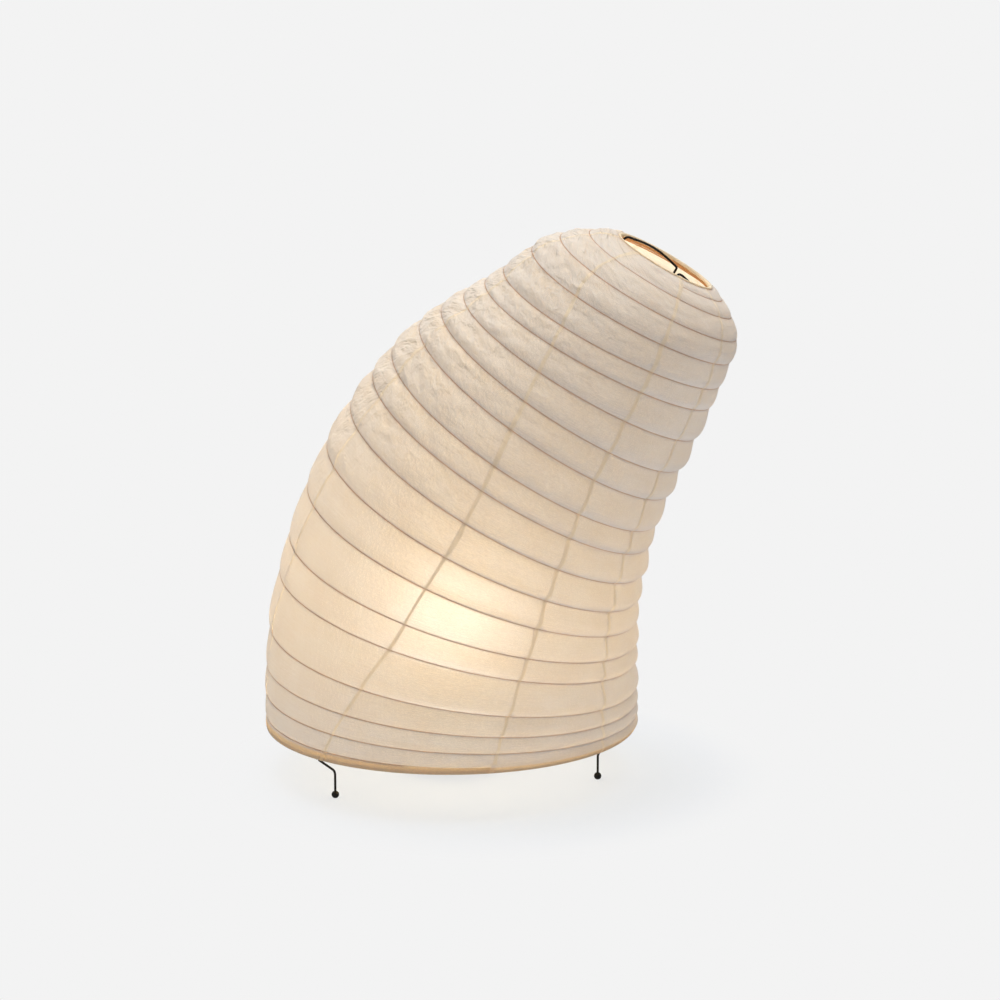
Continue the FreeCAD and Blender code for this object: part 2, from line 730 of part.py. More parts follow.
def harp_path():
    """One wire in the plane of the lean: up the left, over the collar with its dip, and down the right."""
    left = harp_leg(-1, [(share, place) for share, place, _ in HARP_WAY])
    right = harp_leg(1, [(share, place) for share, _, place in HARP_WAY])
    corners = left + harp_crest() + right[::-1]
    points = [point for point, radius in corners]
    radii = [radius for point, radius in corners]
    return rounded_path(points, radii[1:-1])


def make_harp():
    pieces = [feature("harp_wire", wire_along(harp_path(), size["harp_wire"]))]
    bore = "sizes.harp_wire / 2 + sizes.part_gap"
    for side, name in ((-1, "left"), (1, "right")):
        place = placed(Vector(side * size["harp_foot_spacing"] / 2, 0, hub_top + size["part_gap"]))
        pieces.append(tube("harp_socket_" + name, place, bore + " + sizes.harp_socket_wall", bore,
                           "sizes.harp_socket_height"))
    return pieces


# Lampholder

to_rear = Rotation(Vector(1, 0, 0), -90)


def make_holder_cap():
    outside = primitive("Cylinder", "holder_cap_outside", upright(cap_z),
                        Radius="sizes.holder_radius", Height="sizes.holder_cap_height")
    hollow = primitive("Cylinder", "holder_cap_hollow", upright(cap_z + size["holder_floor"]),
                       Radius="sizes.holder_radius - sizes.holder_wall", Height="sizes.holder_cap_height")
    hole = primitive("Cylinder", "holder_cap_hole", upright(cap_z - CUT_MARGIN),
                     Radius="sizes.nipple_radius + sizes.part_gap", Height=through("sizes.holder_floor"))
    inlet = primitive("Cylinder", "holder_cap_inlet", placed(Vector(0, 0, inlet_z), to_rear),
                      Radius="sizes.inlet_barrel + sizes.part_gap", Height=through("sizes.holder_radius"))
    return cut("holder_cap", outside, fuse("holder_cap_cuts", [hollow, hole, inlet]))


def make_bushing():
    """The cord's inlet: a barrel through the cap's rear wall with a flange outside it."""
    start = size["holder_radius"] - size["holder_wall"] - size["inlet_inside"]
    barrel = primitive("Cylinder", "inlet_barrel_body", placed(Vector(0, start, inlet_z), to_rear),
                       Radius="sizes.inlet_barrel", Height="sizes.inlet_length")
    flange = primitive("Cylinder", "inlet_flange_body",
                       placed(Vector(0, size["holder_radius"] + size["part_gap"], inlet_z), to_rear),
                       Radius="sizes.inlet_flange", Height="sizes.inlet_flange_thickness")
    bore = primitive("Cylinder", "inlet_bore_tool", placed(Vector(0, start - CUT_MARGIN, inlet_z), to_rear),
                     Radius="sizes.inlet_bore", Height=through("sizes.inlet_length"))
    return cut("cord_inlet_bushing", fuse("inlet_outside", [barrel, flange]), bore)


def make_insulator():
    disc = primitive("Cylinder", "holder_insulator_disc", upright(insulator_z),
                     Radius="sizes.holder_radius - sizes.holder_wall - sizes.part_gap",
                     Height="sizes.insulator_height")
    holes = []
    for side in (-1, 1):
        place = placed(Vector(0, side * size["terminal_spacing"] / 2, insulator_z - CUT_MARGIN))
        holes.append(primitive("Cylinder", "holder_insulator_hole", place,
                               Radius="sizes.terminal_shank + sizes.part_gap",
                               Height="sizes.terminal_depth + sizes.part_gap + %g" % CUT_MARGIN))
    return cut("holder_insulator", disc, fuse("holder_insulator_holes", holes))


def make_terminals():
    """Two slotted screws driven up into the insulator from below."""
    solids = []
    head = size["terminal_head"]
    head_height = size["terminal_head_height"]
    slot_width = size["terminal_slot_width"]
    for side in (-1, 1):
        base = Vector(0, side * size["terminal_spacing"] / 2, insulator_z - size["part_gap"] - head_height)
        head_disc = Part.makeCylinder(head, head_height, base)
        shank = Part.makeCylinder(size["terminal_shank"], head_height + size["terminal_depth"], base)
        slot_half = head + CUT_MARGIN
        slot_corner = base - Vector(slot_half, slot_width / 2, CUT_MARGIN)
        slot = Part.makeBox(2 * slot_half, slot_width, CUT_MARGIN + size["terminal_slot_depth"], slot_corner)
        solids.append(head_disc.fuse(shank).cut(slot))
    return feature("terminal_screws", Part.makeCompound(solids))


def make_contact():
    """A springy strip that rises in the middle to meet the bulb's tip."""
    thickness = size["contact_thickness"]
    end = size["contact_length"] / 2
    crown = size["contact_crown"] / 2
    under_ramp = crown + size["contact_ramp"]
    over_ramp = under_ramp - thickness / 2
    low = sleeve_z
    high = sleeve_z + size["contact_rise"]
    under = [(-end, low), (-under_ramp, low), (-crown, high - thickness),
             (crown, high - thickness), (under_ramp, low), (end, low)]
    over = [(end, low + thickness), (over_ramp, low + thickness), (crown, high),
            (-crown, high), (-over_ramp, low + thickness), (-end, low + thickness)]
    corners = [Vector(x, -size["contact_width"] / 2, z) for x, z in under + over]
    outline = Part.makePolygon(corners + corners[:1])
    return feature("centre_contact", Part.Face(outline).extrude(Vector(0, size["contact_width"], 0)))


def make_nut():
    prism = primitive("Prism", "nipple_nut_body", upright(nut_z),
                      Circumradius="sizes.nut_width / sqrt(3)", Height="sizes.nut_height")
    hole = primitive("Cylinder", "nipple_nut_hole", upright(nut_z - CUT_MARGIN),
                     Radius="sizes.nipple_radius + sizes.part_gap", Height=through("sizes.nut_height"))
    return cut("nipple_nut", prism, hole)


def make_lampholder():
    hole = "sizes.nipple_radius + sizes.part_gap"
    shell_inside = "sizes.holder_radius - sizes.holder_wall"
    sleeve_bore = "sizes.cap_radius + sizes.thread_clearance"
    return [
        make_holder_cap(),
        tube("holder_shell", upright(shell_z), "sizes.holder_radius", shell_inside,
             "sizes.holder_shell_height"),
        make_insulator(),
        tube("screw_sleeve", upright(sleeve_z), sleeve_bore + " + sizes.sleeve_wall", sleeve_bore,
             "sizes.sleeve_height"),
        make_contact(),
        make_terminals(),
        tube("threaded_nipple", upright(hub_z - size["nipple_below_hub"]), "sizes.nipple_radius",
             "sizes.nipple_bore", "sizes.nipple_below_hub + sizes.nipple_above_hub"),
        tube("lock_washer", upright(washer_z), "sizes.nut_width / 2", hole, "sizes.washer_thickness"),
        make_nut(),
        make_bushing(),
    ]


# Bulb


def globe_outline(inset):
    """Half outline of the globe, this far inside its glass: a ball, then a wide hollow curve to the neck."""
    ball = Vector(0, 0, globe_z)
    radius = size["globe_radius"] - inset

    def on_ball(at):
        return ball + Vector(radius * math.cos(at), 0, radius * math.sin(at))

    hollow = neck_curve + inset
    centre = ball + Vector(math.cos(neck_angle), 0, -math.sin(neck_angle)) * (radius + hollow)

    def on_hollow(at):
        return centre + Vector(-hollow * math.cos(at), 0, hollow * math.sin(at))

    ball_arc = Part.Arc(on_ball(math.pi / 2), on_ball(math.pi / 6), on_ball(-neck_angle))
    hollow_arc = Part.Arc(on_hollow(neck_angle), on_hollow(neck_angle / 2), on_hollow(0.0))
    return ball_arc, hollow_arc


def make_globe():
    outer_ball, outer_neck = globe_outline(0.0)
    inner_ball, inner_neck = globe_outline(size["glass_wall"])
    rim = Part.LineSegment(outer_neck.EndPoint, inner_neck.EndPoint)
    crown = Part.LineSegment(inner_ball.StartPoint, outer_ball.StartPoint)
    curves = [outer_ball, outer_neck, rim, inner_neck, inner_ball, crown]
    outline = Part.Wire(Part.__sortEdges__([curve.toShape() for curve in curves]))
    glass = Part.Face(outline).revolve(Vector(0, 0, 0), Vector(0, 0, 1), 360)
    return feature("bulb_globe", glass)


def make_bulb():
    neck = "sizes.cap_radius - sizes.cap_wall - sizes.neck_clearance"
    cap = tube("bulb_cap", upright(bulb_cap_z), "sizes.cap_radius", "sizes.cap_radius - sizes.cap_wall",
               "sizes.cap_height")
    insulator = primitive("Cone", "bulb_insulator", upright(cap_insulator_z), Radius1="sizes.tip_radius",
                          Radius2="sizes.cap_radius - sizes.cap_wall - sizes.part_gap",
                          Height="sizes.cap_insulator_height")
    tip = primitive("Cone", "bulb_tip", upright(tip_z), Radius1="sizes.tip_radius - sizes.tip_bevel",
                    Radius2="sizes.tip_radius", Height="sizes.tip_height")
    flare = primitive("Cone", "bulb_stem_flare", upright(neck_z),
                      Radius1=neck + " - sizes.glass_wall - sizes.part_gap",
                      Radius2="sizes.stem_radius", Height="sizes.stem_flare_height")
    rod = primitive("Cylinder", "bulb_stem_rod", upright(neck_z), Radius="sizes.stem_radius",
                    Height="sizes.stem_height")
    stem = fuse("bulb_stem", [flare, rod])
    stem_top = neck_z + size["stem_height"] + size["filament_wire"] / 2
    lead = size["stem_radius"] / 2
    spread = size["filament_spread"]
    side_z = stem_top + size["filament_lead_rise"]
    points = [Vector(-lead, 0, stem_top), Vector(-spread, 0, side_z), Vector(0, 0, side_z + spread),
              Vector(spread, 0, side_z), Vector(lead, 0, stem_top)]
    bends = [size["filament_side_bend"], size["filament_top_bend"], size["filament_side_bend"]]
    filament = feature("bulb_filament", wire_along(rounded_path(points, bends), size["filament_wire"]))
    return [make_globe(), cap, insulator, tip, stem, filament]


# Build, check and write


def check(pieces):
    """Stops the build if any object failed or any sub-part has no valid solid."""
    for item in doc.Objects:
        if "Invalid" in item.State or "Error" in item.State:
            raise RuntimeError("failed object: " + item.Label)
    for piece in pieces:
        if piece.Shape.isNull() or not piece.Shape.isValid() or not piece.Shape.Solids:
            raise RuntimeError("bad shape: " + piece.Label)


def write(pieces):
    os.makedirs("parts", exist_ok=True)
    for piece in pieces:
        piece.Shape.exportStep("parts/%s.step" % piece.Label)


def main():
    pieces = make_gores() + [make_rib()] + make_rings()
    pieces += make_stand() + make_harp() + make_lampholder() + make_bulb()
    doc.recompute()
    check(pieces)
    write(pieces)
    print("stand's axis at x = %.3f mm, %d sub-parts" % (base_x, len(pieces)))


main()
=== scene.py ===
"""Looks of the washi paper table lamp: paper, winding, hems, bulb, finishes, light and camera."""
import json
import math

import bpy
import numpy as np
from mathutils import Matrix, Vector


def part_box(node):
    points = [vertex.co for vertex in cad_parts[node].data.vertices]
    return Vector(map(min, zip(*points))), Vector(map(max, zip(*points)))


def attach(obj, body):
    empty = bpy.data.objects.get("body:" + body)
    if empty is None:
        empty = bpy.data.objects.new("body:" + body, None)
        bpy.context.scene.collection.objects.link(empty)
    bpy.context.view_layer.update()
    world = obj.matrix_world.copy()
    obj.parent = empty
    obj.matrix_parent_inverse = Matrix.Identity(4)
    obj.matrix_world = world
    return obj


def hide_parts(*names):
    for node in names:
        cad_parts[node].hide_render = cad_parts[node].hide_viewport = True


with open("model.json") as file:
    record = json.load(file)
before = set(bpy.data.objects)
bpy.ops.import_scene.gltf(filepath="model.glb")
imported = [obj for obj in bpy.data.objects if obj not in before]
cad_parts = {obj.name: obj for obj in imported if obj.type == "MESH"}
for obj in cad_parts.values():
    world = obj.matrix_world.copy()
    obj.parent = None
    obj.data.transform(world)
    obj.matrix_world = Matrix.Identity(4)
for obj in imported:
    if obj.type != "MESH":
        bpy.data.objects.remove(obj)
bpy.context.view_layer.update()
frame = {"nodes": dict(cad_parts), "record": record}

# Sizes from the part, in millimetres about the stand's axis

MM = 0.001
RING_HEIGHT = 38.0
BASE_RADIUS = 145.5
SHOULDER_RADIUS = 85.5
COLLAR_RADIUS = 38.8
SHOULDER_START = 378.0
SHOULDER_RISE = 37.4
SHOULDER_TURN = math.radians(75.0)
COLLAR_ROLL = math.radians(1.8)
SPINE_STRAIGHT = 28.0
SPINE_BEND_RADIUS = 383.0
SPINE_BEND = math.radians(39.8)
TILT_SHARES = [0.0, 0.2167, 0.4574, 0.674, 0.8426, 1.0]
TILT_DEGREES = [0.0, 13.2, 28.0, 32.0, 25.8, 29.6]
TURN_SPACING = [5.6, 12.6, 15.5, 20.2, 34.0, 21.3, 30.1, 27.3, 29.0, 26.7,
                19.7, 27.9, 21.8, 23.0, 21.1, 15.6, 22.2, 22.8, 20.8, 15.6]
LAST_TURN_GAP = 11.65
FIRST_TURN = 1
LAST_TURN = len(TURN_SPACING)
SEAM_DEGREES = [25.2, 65.0, 118.5, 159.5]
DRAW_SHARES = [0.0, 0.12, 0.25, 0.46, 0.63, 0.79, 0.88, 1.0]
DRAW_DEGREES = [0.0, 10.5, 19.0, 24.5, 20.5, 11.5, 4.0, 0.0]
RING_WIRE = 3.0
RING_CLEARANCE = 0.25
PAPER_HALF = 0.25
HEM_THICKNESS = 0.5
TOP_HEM_HEIGHT = 2.0
BOTTOM_HEM_HEIGHT = 5.0
GLOBE_RADIUS = 30.0
GLOBE_MIDDLE = 126.03
NECK_RADIUS = 12.3
NECK_ANGLE = math.radians(58.0)

shoulder_length = math.pi / 2 * math.sqrt((SHOULDER_RISE ** 2 + (SHOULDER_RADIUS - COLLAR_RADIUS) ** 2) / 2)
paper_length = SHOULDER_START + shoulder_length
spine_length = SHOULDER_START + SHOULDER_RISE
turn_scale = (paper_length - LAST_TURN_GAP) / sum(TURN_SPACING)
turn_numbers = np.arange(LAST_TURN + 2, dtype=float)
turn_heights = np.concatenate([[0.0], np.cumsum(TURN_SPACING) * turn_scale, [paper_length]])
front_seams = [-angle for angle in reversed(SEAM_DEGREES)]
seams = np.radians([*front_seams, *SEAM_DEGREES, 360.0 + front_seams[0]])
gore_count = len(seams) - 1
ring_low, ring_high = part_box("bottom_ring")
stand_x = (ring_low[0] + ring_high[0]) / 2 / MM


# The shade's form

STEP_UP = 0.5
STEP_ROUND = 0.01


def curve_through(places, values, where):
    """A smooth curve through values at places."""
    places = np.asarray(places, dtype=float)
    values = np.asarray(values, dtype=float)
    last = len(places) - 1
    before = np.maximum(np.arange(last + 1) - 1, 0)
    after = np.minimum(np.arange(last + 1) + 1, last)
    slopes = (values[after] - values[before]) / (places[after] - places[before])
    left = np.clip(np.searchsorted(places, where, side="right") - 1, 0, last - 1)
    width = places[left + 1] - places[left]
    share = (where - places[left]) / width
    rest = 1 - share
    return (values[left] * (1 + 2 * share) * rest ** 2
            + slopes[left] * width * share * rest ** 2
            + values[left + 1] * share ** 2 * (3 - 2 * share)
            - slopes[left + 1] * width * share ** 2 * rest)


def smooth_step(value):
    """Rises smoothly from 0 to 1 as value does."""
    share = np.clip(value, 0.0, 1.0)
    return share * share * (3 - 2 * share)


def shade_frame(along):
    """The spine's point and its tilt at a length along it."""
    turned = np.clip((along - SPINE_STRAIGHT) / SPINE_BEND_RADIUS, 0.0, SPINE_BEND)
    beyond = np.maximum(along - SPINE_STRAIGHT - SPINE_BEND_RADIUS * SPINE_BEND, 0.0)
    x = SPINE_BEND_RADIUS * (1 - np.cos(turned)) + beyond * math.sin(SPINE_BEND)
    z = (np.minimum(along, SPINE_STRAIGHT) + SPINE_BEND_RADIUS * np.sin(turned)
         + beyond * math.cos(SPINE_BEND) + RING_HEIGHT)
    tilt = curve_through(np.array(TILT_SHARES) * spine_length, np.radians(TILT_DEGREES), along)
    return x, z, tilt


def paper_profile(up):
    """Length along the spine and radius of the paper, for a length up the paper from its rim."""
    turn = np.clip((up - SHOULDER_START) / shoulder_length, 0.0, None) * SHOULDER_TURN
    along = np.minimum(up, SHOULDER_START) + SHOULDER_RISE * np.sin(turn) / math.sin(SHOULDER_TURN)
    taper = BASE_RADIUS - (BASE_RADIUS - SHOULDER_RADIUS) * (along / SHOULDER_START) ** 2
    inward = (1 - np.cos(turn)) / (1 - math.cos(SHOULDER_TURN))
    return along, taper + (COLLAR_RADIUS - taper) * inward


def ring_point(along, radius, angle, rise=0.0):
    """A point on a circle about the spine, or rise off the circle's plane."""
    x, z, tilt = shade_frame(along)
    roll = COLLAR_ROLL * smooth_step((along - SHOULDER_START) / SHOULDER_RISE)
    out = radius * np.cos(angle)
    side = radius * np.sin(angle)
    upright = rise * np.cos(roll) - side * np.sin(roll)
    return np.stack([x + out * np.cos(tilt) + upright * np.sin(tilt),
                     side * np.cos(roll) + rise * np.sin(roll),
                     z - out * np.sin(tilt) + upright * np.cos(tilt)], axis=-1)


def shade_point(up, angle):
    along, radius = paper_profile(up)
    return ring_point(along, radius, angle)


def shade_normal(up, angle):
    """The paper's outward normal."""
    along = shade_point(up + STEP_UP, angle) - shade_point(up - STEP_UP, angle)
    around = shade_point(up, angle + STEP_ROUND) - shade_point(up, angle - STEP_ROUND)
    normal = np.cross(around, along)
    return normal / np.linalg.norm(normal, axis=-1, keepdims=True)


def turn_lag(angle):
    """How far round from the front an angle is, in turns of the winding."""
    return (angle + math.pi / 2) / (2 * math.pi)


def turn_height(turn):
    return curve_through(turn_numbers, turn_heights, turn)


# Unevenness of the paper

NOISE_ROWS = 512
CRUMPLE_SIDE = math.radians(10.0)
CRUMPLE_LOW = 90.0
CRUMPLE_HIGH = 260.0
CRUMPLE_LEAST = 0.12
CRUMPLE_SHORT_SIDE = 0.2
SHORT_SIDE_BULGE = 0.11
LONG_SIDE_BULGE = 0.05
TOP_FLATTER = 0.8
TOP_BULGE_LOW = 290.0
TOP_BULGE_HIGH = 410.0
BULGE_RISE = 0.75
BULGE_FALL = 1.7
BULGE_SEED = 11
SLACK_CELLS = 11
SLACK_STEP = 1.7
SLACK_SPREAD = 0.35
FOLD_HOLD = 0.3
FOLDS = [
    dict(depth=1.5, cells=17, height=21.0, slant=0.5, seed=21),
    dict(depth=1.0, cells=31, height=12.0, slant=-0.6, seed=22),
    dict(depth=0.5, cells=67, height=6.5, slant=0.4, seed=23),
]
EDGE_FADE = BOTTOM_HEM_HEIGHT
bulge_top = BULGE_RISE / (BULGE_RISE + BULGE_FALL)
bulge_scale = 1 / (bulge_top ** BULGE_RISE * (1 - bulge_top) ** BULGE_FALL)


def noise(around, up, cells, seed):
    """Smooth noise from -1 to 1 over the unrolled shade, the same at both ends of a turn of cells."""
    table = np.random.default_rng(seed).uniform(-1.0, 1.0, (cells, NOISE_ROWS))
    low_around = np.floor(around).astype(int)
    low_up = np.floor(up).astype(int)
    share_around = smooth_step(around - low_around)
    share_up = smooth_step(up - low_up)

    def corner(step_around, step_up):
        return table[(low_around + step_around) % cells, (low_up + step_up) % NOISE_ROWS]

    low = corner(0, 0) * (1 - share_around) + corner(1, 0) * share_around
    high = corner(0, 1) * (1 - share_around) + corner(1, 1) * share_around
    return low * (1 - share_up) + high * share_up


def creases(lag, up, depth, cells, height, slant, seed):
    """Flat facets up to depth high that meet in sharp folds about height apart, slanting round the shade."""
    around = lag * cells + slant * up / height
    return depth * np.abs(noise(around, up / height, cells, seed))


def crumple(angle, up):
    """How crumpled the paper is, 0 to 1: most high up on the shade's long side."""
    side = 0.5 - 0.5 * np.cos(angle - CRUMPLE_SIDE)
    rise = smooth_step((up - CRUMPLE_LOW) / (CRUMPLE_HIGH - CRUMPLE_LOW))
    return CRUMPLE_LEAST + (1 - CRUMPLE_LEAST) * rise * (CRUMPLE_SHORT_SIDE + (1 - CRUMPLE_SHORT_SIDE) * side)


def bulge(share):
    """The slack paper's swell between two turns: fullest low down, where it hangs over the lower one."""
    return bulge_scale * share ** BULGE_RISE * (1 - share) ** BULGE_FALL


def bulge_share(angle, up):
    """How far the paper swells, per unit of the turns' spacing: least on the long side and the top."""
    short_side = smooth_step(0.5 + 0.5 * np.cos(angle))
    round_side = LONG_SIDE_BULGE + (SHORT_SIDE_BULGE - LONG_SIDE_BULGE) * short_side
    near_top = smooth_step((up - TOP_BULGE_LOW) / (TOP_BULGE_HIGH - TOP_BULGE_LOW))
    return round_side * (1 - TOP_FLATTER * near_top)


def paper_offset(angle, up, share, pitch, band):
    """How far the paper stands out from its even form, at a share of the way up a band."""
    lag = turn_lag(angle)
    slack = 1 + SLACK_SPREAD * noise(lag * SLACK_CELLS, band * SLACK_STEP, SLACK_CELLS, BULGE_SEED)
    swell = bulge_share(angle, up) * pitch * slack * bulge(share)
    folds = sum(creases(lag, up, **fold) for fold in FOLDS)
    held = smooth_step(np.minimum(share, 1 - share) / FOLD_HOLD)
    edge = smooth_step(np.minimum(up, paper_length - up) / EDGE_FADE)
    return edge * (swell + held * crumple(angle, up) * folds)


# Meshes


def new_mesh(name, points, faces):
    """A smooth mesh object from points in millimetres about the stand's axis."""
    mesh = bpy.data.meshes.new(name)
    placed = (points.reshape(-1, 3) + np.array([stand_x, 0.0, 0.0])) * MM
    mesh.from_pydata(placed.tolist(), [], faces)
    mesh.shade_smooth()
    piece = bpy.data.objects.new(name, mesh)
    bpy.context.scene.collection.objects.link(piece)
    return piece


def grid_faces(rows, columns, closed_rows=False, closed_columns=False):
    """Faces over a grid of points, row by row."""
    faces = []
    for row in range(rows if closed_rows else rows - 1):
        for column in range(columns if closed_columns else columns - 1):
            next_row = (row + 1) % rows
            next_column = (column + 1) % columns
            faces.append((row * columns + column, row * columns + next_column,
                          next_row * columns + next_column, next_row * columns + column))
    return faces


def set_values(piece, name, values):
    """Stores a number for each point, for the material to read."""
    layer = piece.data.attributes.new(name, "FLOAT", "POINT")
    layer.data.foreach_set("value", np.ascontiguousarray(values, dtype=np.float32).ravel())


def set_places(piece, name, values):
    """Stores a place for each point, for the material to read."""
    layer = piece.data.attributes.new(name, "FLOAT_VECTOR", "POINT")
    layer.data.foreach_set("vector", np.ascontiguousarray(values, dtype=np.float32).ravel())


# Paper

GORE_COLUMNS = 54
LAP_COLUMNS = 5
BAND_ROWS = 17
ROW_GATHER = 1.5
LAP_WIDTH = 3.2
LAP_SPREAD = 0.3
LAP_CELL = 23.0
LAP_STEP = 0.3
LAP_RAMP = 2.0
SEAM_WANDER = 0.9
SEAM_SEED = 31
SEAM_SETTLE = 4
END_ALLOWANCE = 0.07
FAR = 99.0
GORE_APART = 50.0


def seam_angle(start, up):
    """Angle of a seam at a place up along the paper, from its angle at the bottom edge."""
    draw = curve_through(np.array(DRAW_SHARES) * paper_length, np.radians(DRAW_DEGREES), up)
    return start - draw * np.sin(start) * (1 - np.cos(start))


def seam_shift(seam, up):
    """How far a seam strays to one side, in millimetres, with a kink at each turn of the winding."""
    strays = np.random.default_rng(SEAM_SEED + seam % gore_count).uniform(-1.0, 1.0, LAST_TURN + 3)
    turn = np.interp(up, turn_heights, turn_numbers)
    return SEAM_WANDER * np.interp(turn, np.arange(LAST_TURN + 3), strays)


def gore_angle(index, across, up):
    """Angle at a share of the way across a gore."""
    return seam_angle(seams[index], up) * (1 - across) + seam_angle(seams[index + 1], up) * across


def gore_rows(index, across):
    """Rows of points up a gore: height, share of a band, its pitch and number, and distance to a rib."""
    bottom = np.zeros_like(across)
    top = np.full_like(across, paper_length)

    def rib_height(turn):
        up = turn_height(turn - turn_lag(gore_angle(index, across, bottom)))
        for _ in range(SEAM_SETTLE):
            up = turn_height(turn - turn_lag(gore_angle(index, across, up)))
        return up

    first = math.ceil(FIRST_TURN - END_ALLOWANCE + turn_lag(gore_angle(index, across, bottom)).max())
    last = math.floor(LAST_TURN + END_ALLOWANCE + turn_lag(gore_angle(index, across, top)).min())
    edges = [bottom, *[rib_height(turn) for turn in range(first, last + 1)], top]
    shares = (np.arange(BAND_ROWS) / BAND_ROWS) ** ROW_GATHER
    rows = []
    for number, (low, high) in enumerate(zip(edges, edges[1:])):
        ends = shares if number < len(edges) - 2 else [*shares, 1.0]
        for share in ends:
            pitch = high - low
            to_low = share * pitch if number > 0 else np.full_like(pitch, FAR)
            to_high = (1 - share) * pitch if number < len(edges) - 2 else np.full_like(pitch, FAR)
            rows.append((low + share * pitch, np.full_like(pitch, share), pitch,
                         np.full_like(pitch, number + first), np.minimum(to_low, to_high)))
    return [np.array(column) for column in zip(*rows)]


def make_gore(index):
    """One long strip of paper, with its right edge lapped over the next strip."""
    across = np.concatenate([np.linspace(0.0, 1.0, GORE_COLUMNS), np.ones(LAP_COLUMNS)])
    over = np.concatenate([np.zeros(GORE_COLUMNS), np.linspace(0.0, 1.0, LAP_COLUMNS + 1)[1:]])
    up, share, pitch, band, rib_distance = gore_rows(index, across)
    radius = paper_profile(up)[1]
    shift = seam_shift(index, up) * (1 - across) + seam_shift(index + 1, up) * across
    lap = LAP_WIDTH * (1 + LAP_SPREAD * noise(np.full_like(up, index), up / LAP_CELL, gore_count, SEAM_SEED))
    angle = gore_angle(index, across, up) + (shift + over * lap) / radius
    before_seam = (gore_angle(index, np.ones_like(across), up) - gore_angle(index, across, up)) * radius
    lift = LAP_STEP * smooth_step(1 - before_seam / LAP_RAMP)
    offset = paper_offset(angle, up, share, pitch, band) + lift
    points = shade_point(up, angle) + shade_normal(up, angle) * offset[..., None]
    piece = new_mesh(f"gore_sheet_{index + 1}", points, grid_faces(*up.shape))
    set_values(piece, "rib_distance", rib_distance)
    set_values(piece, "rim_distance", np.minimum(up, FAR))
    set_values(piece, "crumple", crumple(angle, up))
    set_values(piece, "band_share", share)
    set_values(piece, "lapped", np.broadcast_to(smooth_step(over * LAP_COLUMNS), up.shape))
    places = np.stack([angle * radius, up, np.full_like(up, GORE_APART * index)], axis=-1)
    set_places(piece, "paper_place", places)
    piece.data.materials.append(materials["washi_paper"])
    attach(piece, "shade")
    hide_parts(f"paper_gore_{index + 1}")
    return piece


# Winding

RIB_HALF_WIDTH = 0.6
RIB_HALF_DEPTH = 0.5
RIB_GAP = 0.12
RIB_SIDES = 8
RIB_STEPS_PER_TURN = 90


def make_winding():
    """The split bamboo strip, wound up inside the paper."""
    steps = (LAST_TURN - FIRST_TURN) * RIB_STEPS_PER_TURN + 1
    turn = np.linspace(FIRST_TURN, LAST_TURN, steps)
    angle = -math.pi / 2 - 2 * math.pi * turn
    up = turn_height(turn)
    normal = shade_normal(up, angle)
    middle = shade_point(up, angle) - normal * (RIB_GAP + RIB_HALF_DEPTH)
    forward = np.gradient(middle, axis=0)
    forward = forward / np.linalg.norm(forward, axis=-1, keepdims=True)
    side = np.cross(forward, normal)
    round_section = np.linspace(0.0, 2 * math.pi, RIB_SIDES, endpoint=False)
    points = (middle[:, None]
              + side[:, None] * (np.cos(round_section) * RIB_HALF_WIDTH)[None, :, None]
              + normal[:, None] * (np.sin(round_section) * RIB_HALF_DEPTH)[None, :, None])
    faces = grid_faces(steps, RIB_SIDES, closed_columns=True)
    faces.append(tuple(range(RIB_SIDES)))
    faces.append(tuple(range(steps * RIB_SIDES - 1, (steps - 1) * RIB_SIDES - 1, -1)))
    piece = new_mesh("bamboo_winding", points, faces)
    set_values(piece, "along_strip", np.repeat(turn * 2 * math.pi * SHOULDER_RADIUS, RIB_SIDES))
    piece.data.materials.append(materials["bamboo"])
    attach(piece, "shade")
    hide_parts("bamboo_rib")
    return piece


# Hems

HEM_STEPS = 180
HEM_SEED = 41
TORN_CELLS = 45
TORN_ROW = 3.0
TORN_HEIGHT = 0.35
LIP_REACH = 1.5
LIP_LOW = 0.4
LIP_HIGH = 0.75
LIP_START = 0.4
LIP_START_RISE = 0.45
CREST_REACH = 0.2
CREST_RISE = 0.85


def make_hem(name, node, along, profile, ragged):
    """A folded paper edge turned about the spine; ragged profile points wander as a torn edge does."""
    angle = np.linspace(0.0, 2 * math.pi, HEM_STEPS, endpoint=False)
    sections = []
    for number, (radius, rise) in enumerate(profile):
        wander = noise(turn_lag(angle) * TORN_CELLS, np.full_like(angle, TORN_ROW), TORN_CELLS, HEM_SEED)
        height = rise + (TORN_HEIGHT * wander if number in ragged else 0.0)
        sections.append(ring_point(np.full_like(angle, along), radius, angle, height))
    points = np.stack(sections, axis=1)
    faces = grid_faces(HEM_STEPS, len(profile), closed_rows=True, closed_columns=True)
    piece = new_mesh(name, points, faces)
    piece.data.materials.append(materials["hem_paper"])
    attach(piece, "shade")
    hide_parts(node)
    return piece


